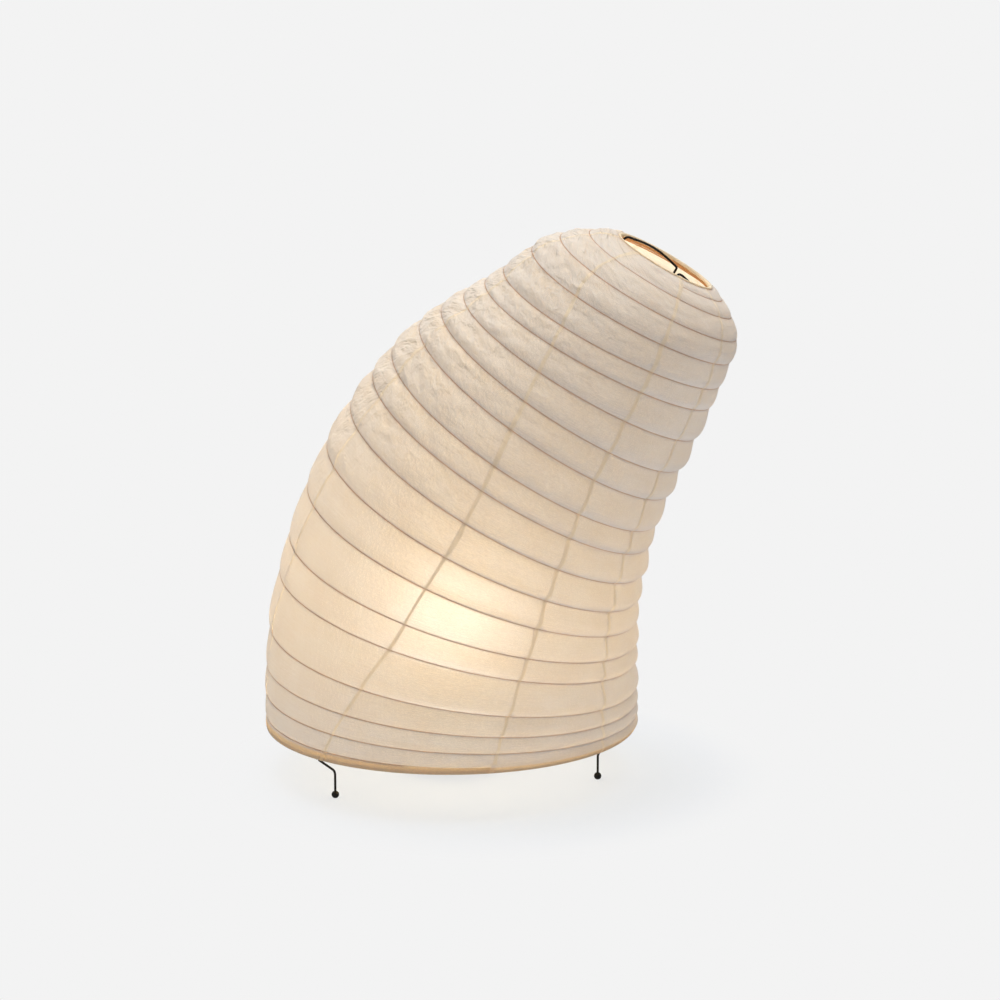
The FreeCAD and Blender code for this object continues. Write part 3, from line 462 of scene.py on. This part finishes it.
def make_hems():
    inside = COLLAR_RADIUS - RING_CLEARANCE
    foot = PAPER_HALF - TOP_HEM_HEIGHT
    collar = [(inside - HEM_THICKNESS, foot), (inside, foot), (inside, PAPER_HALF),
              (COLLAR_RADIUS + LIP_START, LIP_START_RISE), (COLLAR_RADIUS + LIP_REACH, LIP_LOW),
              (COLLAR_RADIUS + LIP_REACH, LIP_HIGH), (COLLAR_RADIUS + CREST_REACH, CREST_RISE),
              (inside - HEM_THICKNESS, LIP_START_RISE)]
    top = make_hem("collar_hem", "top_hem", spine_length, collar, {0, 1})
    outer = BASE_RADIUS - PAPER_HALF - RING_CLEARANCE
    inner = outer - RING_WIRE - RING_CLEARANCE
    rim = [(inner - HEM_THICKNESS, -HEM_THICKNESS), (outer, -HEM_THICKNESS), (outer, 0.0), (inner, 0.0),
           (inner, BOTTOM_HEM_HEIGHT), (inner - HEM_THICKNESS, BOTTOM_HEM_HEIGHT)]
    bottom = make_hem("rim_hem", "bottom_hem", 0.0, rim, {4, 5})
    return [top, bottom]


# Bulb

GLOBE_STEPS = 64
NECK_STEPS = 10
BALL_STEPS = 28
POLE_GAP = 0.02


def make_globe():
    """The bulb's frosted globe, with its neck curving down to the cap."""
    neck_curve = (GLOBE_RADIUS * math.cos(NECK_ANGLE) - NECK_RADIUS) / (1 - math.cos(NECK_ANGLE))
    neck_z = GLOBE_MIDDLE - (GLOBE_RADIUS + neck_curve) * math.sin(NECK_ANGLE)
    bend = np.linspace(0.0, NECK_ANGLE, NECK_STEPS, endpoint=False)
    ball = np.linspace(-NECK_ANGLE, math.pi / 2 - POLE_GAP, BALL_STEPS)
    radii = np.concatenate([NECK_RADIUS + neck_curve * (1 - np.cos(bend)),
                            GLOBE_RADIUS * np.cos(ball)])
    heights = np.concatenate([neck_z + neck_curve * np.sin(bend),
                              GLOBE_MIDDLE + GLOBE_RADIUS * np.sin(ball)])
    angle = np.linspace(0.0, 2 * math.pi, GLOBE_STEPS, endpoint=False)
    points = np.stack([radii[:, None] * np.cos(angle), radii[:, None] * np.sin(angle),
                       np.repeat(heights[:, None], GLOBE_STEPS, axis=1)], axis=-1)
    faces = grid_faces(len(radii), GLOBE_STEPS, closed_columns=True)
    faces.append(tuple(range((len(radii) - 1) * GLOBE_STEPS, len(radii) * GLOBE_STEPS)))
    piece = new_mesh("lit_globe", points, faces)
    piece.data.materials.append(materials["frosted_glass"])
    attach(piece, "bulb")
    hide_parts("bulb_globe")
    return piece


# Materials


class Nodes:
    """A material's or world's node tree, with short calls to add to it."""

    def __init__(self, owner):
        owner.use_nodes = True
        self.tree = owner.node_tree
        self.tree.nodes.clear()

    def connect(self, socket, value):
        """Sets a socket to a value, or links it from another node's socket."""
        if isinstance(value, bpy.types.NodeSocket):
            self.tree.links.new(value, socket)
        else:
            socket.default_value = value

    def add(self, kind, inputs=None, **settings):
        """Adds a node. Each input is a value, or another node's socket to link from."""
        node = self.tree.nodes.new(kind)
        for name, value in settings.items():
            setattr(node, name, value)
        for name, value in (inputs or {}).items():
            self.connect(node.inputs[name], value)
        return node

    def math(self, operation, first, second):
        return self.add("ShaderNodeMath", {0: first, 1: second}, operation=operation).outputs[0]

    def times(self, first, second):
        return self.math("MULTIPLY", first, second)

    def weighted(self, *terms):
        """The sum of several numbers, each times its weight."""
        value, weight = terms[0]
        total = self.times(value, weight)
        for value, weight in terms[1:]:
            total = self.math("ADD", total, self.times(value, weight))
        return total

    def fade(self, value, low, high, at_low, at_high):
        """Goes smoothly from at_low to at_high as value goes from low to high."""
        inputs = {"Value": value, "From Min": low, "From Max": high, "To Min": at_low, "To Max": at_high}
        return self.add("ShaderNodeMapRange", inputs, interpolation_type="SMOOTHSTEP").outputs[0]

    def noise(self, place, scale, detail, roughness):
        inputs = {"Vector": place, "Scale": scale, "Detail": detail, "Roughness": roughness}
        return self.add("ShaderNodeTexNoise", inputs).outputs["Fac"]

    def stretched(self, place, scale):
        """A place with each of its axes scaled, so that a texture there is drawn out along one of them."""
        return self.add("ShaderNodeMapping", {"Vector": place, "Scale": scale}).outputs[0]

    def mix(self, share, first, second):
        """Mixes two colours."""
        node = self.add("ShaderNodeMix", data_type="RGBA")
        self.connect(node.inputs[0], share)
        self.connect(node.inputs[6], first)
        self.connect(node.inputs[7], second)
        return node.outputs[2]

    def blend(self, share, first, second):
        """Mixes two shaders."""
        return self.add("ShaderNodeMixShader", {0: share, 1: first, 2: second}).outputs[0]

    def value(self, name):
        """A number stored on the mesh."""
        return self.add("ShaderNodeAttribute", attribute_name=name).outputs["Fac"]

    def place(self, name):
        """A place stored on the mesh."""
        return self.add("ShaderNodeAttribute", attribute_name=name).outputs["Vector"]

    def object_place(self):
        return self.add("ShaderNodeTexCoord").outputs["Object"]

    def cells(self, place, feature="F1"):
        """A texture of irregular cells, about one to a unit."""
        return self.add("ShaderNodeTexVoronoi", {"Vector": place, "Scale": 1.0}, feature=feature)

    def facets(self, place):
        """Cones that meet in sharp folds."""
        return self.cells(place).outputs["Distance"]

    def facet_tone(self, place):
        """A number of its own, 0 to 1, for each patch between folds."""
        return self.add("ShaderNodeSeparateColor", {"Color": self.cells(place).outputs["Color"]}).outputs[0]

    def fold_line(self, place, width):
        """1 along the folds between patches and 0 away from them."""
        away = self.cells(place, "DISTANCE_TO_EDGE").outputs["Distance"]
        return self.fade(away, 0.0, width, 1.0, 0.0)

    def bump(self, height, strength, distance, normal=None):
        inputs = {"Height": height, "Strength": strength, "Distance": distance}
        if normal is not None:
            inputs["Normal"] = normal
        return self.add("ShaderNodeBump", inputs).outputs[0]

    def surface(self, shader):
        kind = "ShaderNodeOutputWorld" if shader.node.type == "BACKGROUND" else "ShaderNodeOutputMaterial"
        self.add(kind, {"Surface": shader})


def rgb(red, green, blue):
    return (red, green, blue, 1.0)


# Paper's colours, with its painted shade, highlights, rib shadow and rim glow, and how much light it lets
# through

WHITE_PAPER = rgb(0.945, 0.93, 0.905)
CREAM_PAPER = rgb(0.92, 0.895, 0.85)
# Tan of the painted shade, below each rib and on crumple facets turned from the light
PAINTED_SHADE_TAN = rgb(0.84, 0.69, 0.50)
# Pale paper of the painted highlights over the ribs and along the crumple folds
PAINTED_HIGHLIGHT_PAPER = rgb(0.97, 0.96, 0.94)
# Brown line over each rib: the bamboo showing through the paper, darkened by a painted shadow of the rib
RIB_SHOW_AND_SHADOW = rgb(0.60, 0.39, 0.24)
# Orange of the rim band: in the light through it, the tint of the paper in layers over the hem; in the front
# colour, a painted glow of the lamp's light
RIM_LAYERS_AND_GLOW = rgb(0.97, 0.76, 0.50)
LAP_STAIN = rgb(0.90, 0.84, 0.72)
WARM_THROUGH = rgb(0.95, 0.86, 0.71)
DENSE_THROUGH = rgb(0.90, 0.77, 0.58)
LAP_LIGHT = rgb(0.98, 0.91, 0.78)
PAPER_THROUGH = 0.34
RIM_THROUGH = 0.30
LAP_THROUGH = 0.62
FORWARD_SHARE = 0.185
LAP_FORWARD = 0.1
FORWARD_ROUGHNESS = 0.95
FORWARD_INDEX = 0.5
STRAIGHT_SHARE = 0.034
STRAIGHT_TINT = rgb(0.30, 0.45, 1.0)
STRAIGHT_ROUGHNESS = 0.62
STRAIGHT_INDEX = 1.7
PAPER_ROUGHNESS = 0.4

# Paper's texture, with scales per millimetre and heights in metres

CLOUD_SCALE = 0.035
SPECK_SCALE = 0.35
FIBRE_STRETCH = (0.05, 0.9, 1.0)
CROSS_FIBRE_STRETCH = (0.5, 0.09, 1.0)
PATCH_STRETCH = (0.5, 1.2, 1.0)
PATCH_SCALE = 0.025
STRAY_SCALE = 0.06
STRAY_ROUND = 30.0
STRAY_UP = -22.0
BROAD_FOLDS = (0.045, 0.075, 1.0)
SMALL_FOLDS = (0.11, 0.15, 1.0)
BROAD_LINE = 0.07
SMALL_LINE = 0.09
SMALL_FACET_SHARE = 0.45
UNDER_RIB_SHADE_SHARE = 0.5
OVER_RIB_HIGHLIGHT_SHARE = 0.7
FACET_SHADE_SHARE = 0.18
FOLD_HIGHLIGHT_SHARE = 0.6
RIB_INNER = 0.15
RIB_OUTER = 0.5
RIM_LOW = 4.0
RIM_HIGH = 6.5
GRAIN_STRENGTH = 0.25
GRAIN_HEIGHT = 0.0004
CREASE_HEIGHT = 0.0026
FIBRE_HEIGHT = 0.0022


def paper_material(name):
    """Long-fibred handmade paper that lets the lamp's light through; its front colour carries painted shade
    and highlights, a painted rib shadow and a painted rim glow.
    """
    material = bpy.data.materials.new(name)
    nodes = Nodes(material)
    place = nodes.place("paper_place")
    crumpled = nodes.value("crumple")
    lapped = nodes.value("lapped")
    band_share = nodes.value("band_share")
    rim_distance = nodes.value("rim_distance")

    cloud = nodes.noise(place, CLOUD_SCALE, 4.0, 0.6)
    speck = nodes.noise(place, SPECK_SCALE, 3.0, 0.6)
    fibre = nodes.noise(nodes.stretched(place, FIBRE_STRETCH), 1.0, 4.0, 0.65)
    cross_fibre = nodes.noise(nodes.stretched(place, CROSS_FIBRE_STRETCH), 1.0, 3.0, 0.6)
    weight = nodes.weighted((cloud, 0.45), (fibre, 0.3), (speck, 0.15), (cross_fibre, 0.1))
    dense = nodes.fade(weight, 0.35, 0.65, 0.0, 1.0)
    # Mask along each rib for the bamboo showing through and its painted shadow
    at_rib = nodes.fade(nodes.value("rib_distance"), RIB_INNER, RIB_OUTER, 1.0, 0.0)
    at_rim = nodes.fade(rim_distance, RIM_LOW, RIM_HIGH, 1.0, 0.0)
    patch = nodes.noise(nodes.stretched(place, PATCH_STRETCH), PATCH_SCALE, 3.0, 0.6)
    patch = nodes.times(crumpled, nodes.fade(patch, 0.38, 0.6, 0.0, 1.0))
    # Painted shade: tan patches just below each rib on the crumpled paper, where the swell above would shade
    # it
    painted_shade_under_rib = nodes.times(nodes.fade(band_share, 0.3, 1.0, 0.0, 1.0), patch)
    # Painted highlight: a pale lip just above each rib on the crumpled paper, where the paper over the rib
    # catches the light
    painted_highlight_over_rib = nodes.times(nodes.fade(band_share, 0.02, 0.16, OVER_RIB_HIGHLIGHT_SHARE, 0.0), crumpled)

    broken = nodes.noise(place, STRAY_SCALE, 3.0, 0.6)
    stray = nodes.add("ShaderNodeCombineXYZ", {"X": nodes.times(broken, STRAY_ROUND),
                                               "Y": nodes.times(broken, STRAY_UP)}).outputs[0]
    strayed = nodes.add("ShaderNodeVectorMath", {0: place, 1: stray}, operation="ADD").outputs[0]
    broad = nodes.stretched(strayed, BROAD_FOLDS)
    small = nodes.stretched(strayed, SMALL_FOLDS)
    # Painted shade: each crumple facet gets its own tan level, standing for facets turned from the light
    facet_shade_level = nodes.weighted((nodes.facet_tone(broad), 0.5), (nodes.facet_tone(small), 0.5))
    painted_facet_shade = nodes.times(crumpled, facet_shade_level)
    # Painted highlight: pale lines along the crumple folds, where their ridges catch the light
    lines = nodes.math("MAXIMUM", nodes.fold_line(broad, BROAD_LINE), nodes.fold_line(small, SMALL_LINE))
    painted_fold_highlight = nodes.times(patch, lines)

    front = nodes.mix(dense, WHITE_PAPER, CREAM_PAPER)
    front = nodes.mix(nodes.times(painted_shade_under_rib, UNDER_RIB_SHADE_SHARE), front, PAINTED_SHADE_TAN)
    front = nodes.mix(nodes.times(painted_facet_shade, FACET_SHADE_SHARE), front, PAINTED_SHADE_TAN)
    front = nodes.mix(painted_highlight_over_rib, front, PAINTED_HIGHLIGHT_PAPER)
    front = nodes.mix(nodes.times(painted_fold_highlight, FOLD_HIGHLIGHT_SHARE), front, PAINTED_HIGHLIGHT_PAPER)
    front = nodes.mix(lapped, front, LAP_STAIN)
    front = nodes.mix(at_rib, front, RIB_SHOW_AND_SHADOW)
    # Painted glow: the rim band's front colour is orange, as if lamp light came through the layered hem
    front = nodes.mix(at_rim, front, RIM_LAYERS_AND_GLOW)
    through = nodes.mix(dense, WARM_THROUGH, DENSE_THROUGH)
    through = nodes.mix(at_rim, through, RIM_LAYERS_AND_GLOW)
    through = nodes.mix(lapped, through, LAP_LIGHT)

    grain = nodes.weighted((fibre, 0.7), (speck, 0.5))
    facets = nodes.math("ADD", nodes.facets(broad), nodes.times(nodes.facets(small), SMALL_FACET_SHARE))
    crease = nodes.times(facets, nodes.times(crumpled, crumpled))
    normal = nodes.bump(grain, GRAIN_STRENGTH, GRAIN_HEIGHT)
    normal = nodes.bump(crease, 1.0, CREASE_HEIGHT, normal)
    matted = nodes.bump(grain, 1.0, FIBRE_HEIGHT, normal)

    diffuse = nodes.add("ShaderNodeBsdfDiffuse", {
        "Color": front, "Roughness": PAPER_ROUGHNESS, "Normal": normal}).outputs[0]
    translucent = nodes.add("ShaderNodeBsdfTranslucent", {"Color": through, "Normal": normal}).outputs[0]
    forward = nodes.add("ShaderNodeBsdfRefraction", {
        "Color": through, "Roughness": FORWARD_ROUGHNESS, "IOR": FORWARD_INDEX, "Normal": matted}).outputs[0]
    straight = nodes.add("ShaderNodeBsdfRefraction", {
        "Color": STRAIGHT_TINT, "Roughness": STRAIGHT_ROUGHNESS, "IOR": STRAIGHT_INDEX}).outputs[0]
    share = nodes.fade(rim_distance, RIM_LOW, RIM_HIGH, RIM_THROUGH, PAPER_THROUGH)
    share = nodes.math("ADD", share, nodes.times(lapped, LAP_THROUGH - PAPER_THROUGH))
    ahead = nodes.fade(lapped, 0.0, 1.0, FORWARD_SHARE, LAP_FORWARD)
    paper = nodes.blend(ahead, nodes.blend(share, diffuse, translucent), forward)
    nodes.surface(nodes.blend(STRAIGHT_SHARE, paper, straight))
    return material


HEM_PALE = rgb(0.95, 0.88, 0.74)
HEM_DARK = rgb(0.90, 0.82, 0.66)
HEM_SCALE = 120.0
HEM_BUMP = 0.3
HEM_THROUGH = 0.5


def hem_material(name):
    """The same paper, doubled and pasted down."""
    material = bpy.data.materials.new(name)
    nodes = Nodes(material)
    patch = nodes.noise(nodes.object_place(), HEM_SCALE, 4.0, 0.6)
    colour = nodes.mix(nodes.fade(patch, 0.35, 0.65, 0.0, 1.0), HEM_PALE, HEM_DARK)
    normal = nodes.bump(patch, HEM_BUMP, GRAIN_HEIGHT)
    diffuse = nodes.add("ShaderNodeBsdfDiffuse", {
        "Color": colour, "Roughness": PAPER_ROUGHNESS, "Normal": normal}).outputs[0]
    translucent = nodes.add("ShaderNodeBsdfTranslucent", {"Color": colour, "Normal": normal}).outputs[0]
    nodes.surface(nodes.blend(HEM_THROUGH, diffuse, translucent))
    return material


FINE_SCALE = 6.0
SOLID_BUMP_HEIGHT = 0.0002
LEAST_GLOSS = 0.85
MOST_GLOSS = 1.15


def solid_material(name, light, dark, scale, roughness, metallic=0.0, stretch=(1.0, 1.0, 1.0), bump=0.1,
                   coat=0.0, specular=0.5):
    """A plain solid finish with mottled colour, uneven gloss and a fine bumpy grain."""
    material = bpy.data.materials.new(name)
    nodes = Nodes(material)
    place = nodes.stretched(nodes.object_place(), stretch)
    broad = nodes.noise(place, scale, 3.0, 0.55)
    fine = nodes.noise(place, scale * FINE_SCALE, 2.0, 0.5)
    colour = nodes.mix(nodes.fade(broad, 0.35, 0.65, 0.0, 1.0), light, dark)
    gloss = nodes.fade(fine, 0.3, 0.7, roughness * LEAST_GLOSS, roughness * MOST_GLOSS)
    normal = nodes.bump(fine, bump, SOLID_BUMP_HEIGHT)
    shader = nodes.add("ShaderNodeBsdfPrincipled", {
        "Base Color": colour, "Roughness": gloss, "Metallic": metallic, "Coat Weight": coat,
        "Specular IOR Level": specular, "Normal": normal})
    nodes.surface(shader.outputs[0])
    return material


BAMBOO_PALE = rgb(0.50, 0.34, 0.18)
BAMBOO_BROWN = rgb(0.34, 0.21, 0.10)
BAMBOO_JOINT = rgb(0.20, 0.12, 0.06)
BAMBOO_GLOW = rgb(0.85, 0.60, 0.40)
BAMBOO_THROUGH = 0.7
BAMBOO_ROUGHNESS = 0.6
BAMBOO_BUMP = 0.3
STREAK_STRETCH = (1.0, 1.0, 8.0)
STREAK_SCALE = 300.0
JOINT_SCALE = 0.02


def bamboo_material(name):
    """Split bamboo, streaked, with darker joints along the strip, that lets some light through."""
    material = bpy.data.materials.new(name)
    nodes = Nodes(material)
    along = nodes.add("ShaderNodeCombineXYZ", {"X": nodes.value("along_strip")}).outputs[0]
    streak = nodes.noise(nodes.stretched(nodes.object_place(), STREAK_STRETCH), STREAK_SCALE, 3.0, 0.6)
    joint = nodes.noise(along, JOINT_SCALE, 2.0, 0.5)
    colour = nodes.mix(nodes.fade(streak, 0.3, 0.7, 0.0, 1.0), BAMBOO_PALE, BAMBOO_BROWN)
    colour = nodes.mix(nodes.fade(joint, 0.6, 0.7, 0.0, 0.6), colour, BAMBOO_JOINT)
    normal = nodes.bump(streak, BAMBOO_BUMP, SOLID_BUMP_HEIGHT)
    skin = nodes.add("ShaderNodeBsdfPrincipled", {
        "Base Color": colour, "Roughness": BAMBOO_ROUGHNESS, "Normal": normal}).outputs[0]
    glow = nodes.add("ShaderNodeBsdfTranslucent", {"Color": BAMBOO_GLOW, "Normal": normal}).outputs[0]
    nodes.surface(nodes.blend(BAMBOO_THROUGH, skin, glow))
    return material


LAMP_COLOUR = rgb(1.0, 0.73, 0.35)
LAMP_STRENGTH = 24.0
GLASS_PALE = rgb(0.90, 0.88, 0.84)
GLASS_DARK = rgb(0.84, 0.82, 0.78)
FROST_SCALE = 220.0
UNLIT_BELOW = 40.0
LIT_BELOW = 15.0
NECK_GLOW = 0.12


def globe_material(name):
    """Frosted glass, lit from within and dimmer down its neck."""
    material = bpy.data.materials.new(name)
    nodes = Nodes(material)
    place = nodes.object_place()
    height = nodes.add("ShaderNodeSeparateXYZ", {"Vector": place}).outputs["Z"]
    frost = nodes.noise(place, FROST_SCALE, 3.0, 0.6)
    unlit_height = (GLOBE_MIDDLE - UNLIT_BELOW) * MM
    lit_height = (GLOBE_MIDDLE - LIT_BELOW) * MM
    lit = nodes.fade(height, unlit_height, lit_height, NECK_GLOW, 1.0)
    uneven = nodes.fade(frost, 0.2, 0.8, 0.94, 1.06)
    strength = nodes.times(nodes.times(lit, uneven), LAMP_STRENGTH)
    colour = nodes.mix(nodes.fade(frost, 0.3, 0.7, 0.0, 1.0), GLASS_PALE, GLASS_DARK)
    shader = nodes.add("ShaderNodeBsdfPrincipled", {
        "Base Color": colour, "Roughness": nodes.fade(frost, 0.3, 0.7, 0.5, 0.65),
        "Emission Color": LAMP_COLOUR, "Emission Strength": strength})
    nodes.surface(shader.outputs[0])
    return material


FINISHES = {
    "black_wire": dict(light=rgb(0.016, 0.013, 0.011), dark=rgb(0.010, 0.008, 0.007), scale=180.0,
                       roughness=0.5, specular=0.12),
    "foot_rubber": dict(light=rgb(0.016, 0.015, 0.014), dark=rgb(0.010, 0.010, 0.010), scale=240.0,
                        roughness=0.6, specular=0.15),
    "holder_black": dict(light=rgb(0.030, 0.028, 0.027), dark=rgb(0.022, 0.021, 0.020), scale=150.0,
                         roughness=0.36),
    "porcelain": dict(light=rgb(0.84, 0.83, 0.79), dark=rgb(0.78, 0.77, 0.72), scale=90.0,
                      roughness=0.22, coat=0.5),
    "brass": dict(light=rgb(0.78, 0.58, 0.27), dark=rgb(0.66, 0.46, 0.20), scale=200.0,
                  roughness=0.3, metallic=1.0),
    "zinc_steel": dict(light=rgb(0.62, 0.62, 0.60), dark=rgb(0.50, 0.50, 0.49), scale=260.0,
                       roughness=0.38, metallic=1.0),
    "bushing_nylon": dict(light=rgb(0.045, 0.044, 0.043), dark=rgb(0.03, 0.03, 0.03), scale=200.0,
                          roughness=0.5),
    "cap_metal": dict(light=rgb(0.74, 0.73, 0.70), dark=rgb(0.62, 0.61, 0.59), scale=180.0,
                      roughness=0.32, metallic=1.0, stretch=(1.0, 1.0, 6.0)),
    "cap_insulator": dict(light=rgb(0.03, 0.03, 0.034), dark=rgb(0.02, 0.02, 0.022), scale=160.0,
                          roughness=0.15),
    "tip_solder": dict(light=rgb(0.62, 0.62, 0.61), dark=rgb(0.48, 0.48, 0.47), scale=400.0,
                       roughness=0.4, metallic=1.0, bump=0.3),
    "stem_glass": dict(light=rgb(0.86, 0.88, 0.87), dark=rgb(0.78, 0.80, 0.80), scale=120.0,
                       roughness=0.12),
    "filament_metal": dict(light=rgb(0.36, 0.34, 0.31), dark=rgb(0.26, 0.25, 0.23), scale=500.0,
                           roughness=0.4, metallic=1.0),
}


def make_materials():
    made = {name: solid_material(name, **finish) for name, finish in FINISHES.items()}
    made["washi_paper"] = paper_material("washi_paper")
    made["hem_paper"] = hem_material("hem_paper")
    made["bamboo"] = bamboo_material("bamboo")
    made["frosted_glass"] = globe_material("frosted_glass")
    return made


# Light, floor and camera

BACKGROUND = 0.896
FLOOR_RADIUS = 40.0
FLOOR_SIDES = 64
WHITE = rgb(1.0, 1.0, 1.0)
FLOOR_SHADE = rgb(0.56, 0.65, 0.78)
SHADOW_SHARE = 0.25
SHADOW_NEAR = 0.12
SHADOW_FAR = 0.22
AMBIENT = 0.29
KEY_POWER = 51.0
KEY_SIZE = 2.0
KEY_DISTANCE = 2.0
KEY_AIM = (0.0, 0.0, 0.2)
KEY_AZIMUTH = math.radians(-165.0)
KEY_ELEVATION = math.radians(85.0)
CAMERA_AIM = (37.1, 9.5, 214.75)
CAMERA_AZIMUTH = 0.2313
CAMERA_ELEVATION = 0.1941
CAMERA_DISTANCE = 2.0
CAMERA_LENS = 92.67


def direction(azimuth, elevation):
    """From the object towards a viewer or lamp at that azimuth and elevation."""
    return Vector((math.sin(azimuth) * math.cos(elevation), -math.cos(azimuth) * math.cos(elevation),
                   math.sin(elevation)))


def seen_directly(nodes):
    """1 for rays from the camera, off gloss or through paper, 0 for those that carry other light."""
    path = nodes.add("ShaderNodeLightPath")
    mirrored = nodes.math("MAXIMUM", path.outputs["Is Glossy Ray"], path.outputs["Is Transmission Ray"])
    return nodes.math("MAXIMUM", path.outputs["Is Camera Ray"], mirrored)


def make_world():
    world = bpy.data.worlds.new("studio")
    bpy.context.scene.world = world
    nodes = Nodes(world)
    level = nodes.fade(seen_directly(nodes), 0.0, 1.0, AMBIENT, BACKGROUND)
    nodes.surface(nodes.add("ShaderNodeBackground", {"Color": WHITE, "Strength": level}).outputs[0])


def make_floor():
    """A plain pale floor, whose shadow fades out away from the lamp."""
    mesh = bpy.data.meshes.new("floor")
    angles = [2 * math.pi * step / FLOOR_SIDES for step in range(FLOOR_SIDES)]
    corners = [(math.cos(angle) * FLOOR_RADIUS, math.sin(angle) * FLOOR_RADIUS, 0.0) for angle in angles]
    mesh.from_pydata(corners, [], [tuple(range(FLOOR_SIDES))])
    floor = bpy.data.objects.new("floor", mesh)
    bpy.context.scene.collection.objects.link(floor)
    material = bpy.data.materials.new("pale_floor")
    nodes = Nodes(material)
    pale = nodes.add("ShaderNodeBsdfDiffuse", {"Color": FLOOR_SHADE}).outputs[0]
    away = nodes.add("ShaderNodeVectorMath", {0: nodes.object_place()}, operation="LENGTH").outputs["Value"]
    glow = nodes.add("ShaderNodeEmission", {"Color": WHITE, "Strength": BACKGROUND}).outputs[0]
    plain = nodes.fade(away, SHADOW_NEAR, SHADOW_FAR, 1.0 - SHADOW_SHARE, 1.0)
    nodes.surface(nodes.blend(nodes.times(seen_directly(nodes), plain), pale, glow))
    mesh.materials.append(material)


def make_key():
    lamp = bpy.data.lights.new("key", "AREA")
    lamp.shape = "DISK"
    lamp.size = KEY_SIZE
    lamp.energy = KEY_POWER
    key = bpy.data.objects.new("key", lamp)
    bpy.context.scene.collection.objects.link(key)
    towards = direction(KEY_AZIMUTH, KEY_ELEVATION)
    key.location = Vector(KEY_AIM) + towards * KEY_DISTANCE
    key.rotation_mode = "QUATERNION"
    key.rotation_quaternion = towards.to_track_quat("Z", "Y")


def make_camera():
    data = bpy.data.cameras.new("camera")
    data.lens = CAMERA_LENS
    camera = bpy.data.objects.new("camera", data)
    bpy.context.scene.collection.objects.link(camera)
    back = direction(CAMERA_AZIMUTH, CAMERA_ELEVATION)
    aim = (Vector(CAMERA_AIM) + Vector((stand_x, 0.0, 0.0))) * MM
    camera.location = aim + back * CAMERA_DISTANCE
    camera.rotation_mode = "QUATERNION"
    camera.rotation_quaternion = back.to_track_quat("Z", "Y")
    bpy.context.scene.camera = camera


bpy.context.scene.view_settings.view_transform = "Standard"
materials = make_materials()
for row in frame["record"]["subparts"]:
    for place in frame["nodes"][row["node"]].material_slots:
        place.material = materials[row["material_slot"]]
gores = [make_gore(index) for index in range(gore_count)]
trimmings = [make_winding(), *make_hems()]
make_globe()
make_world()
make_floor()
make_key()
make_camera()
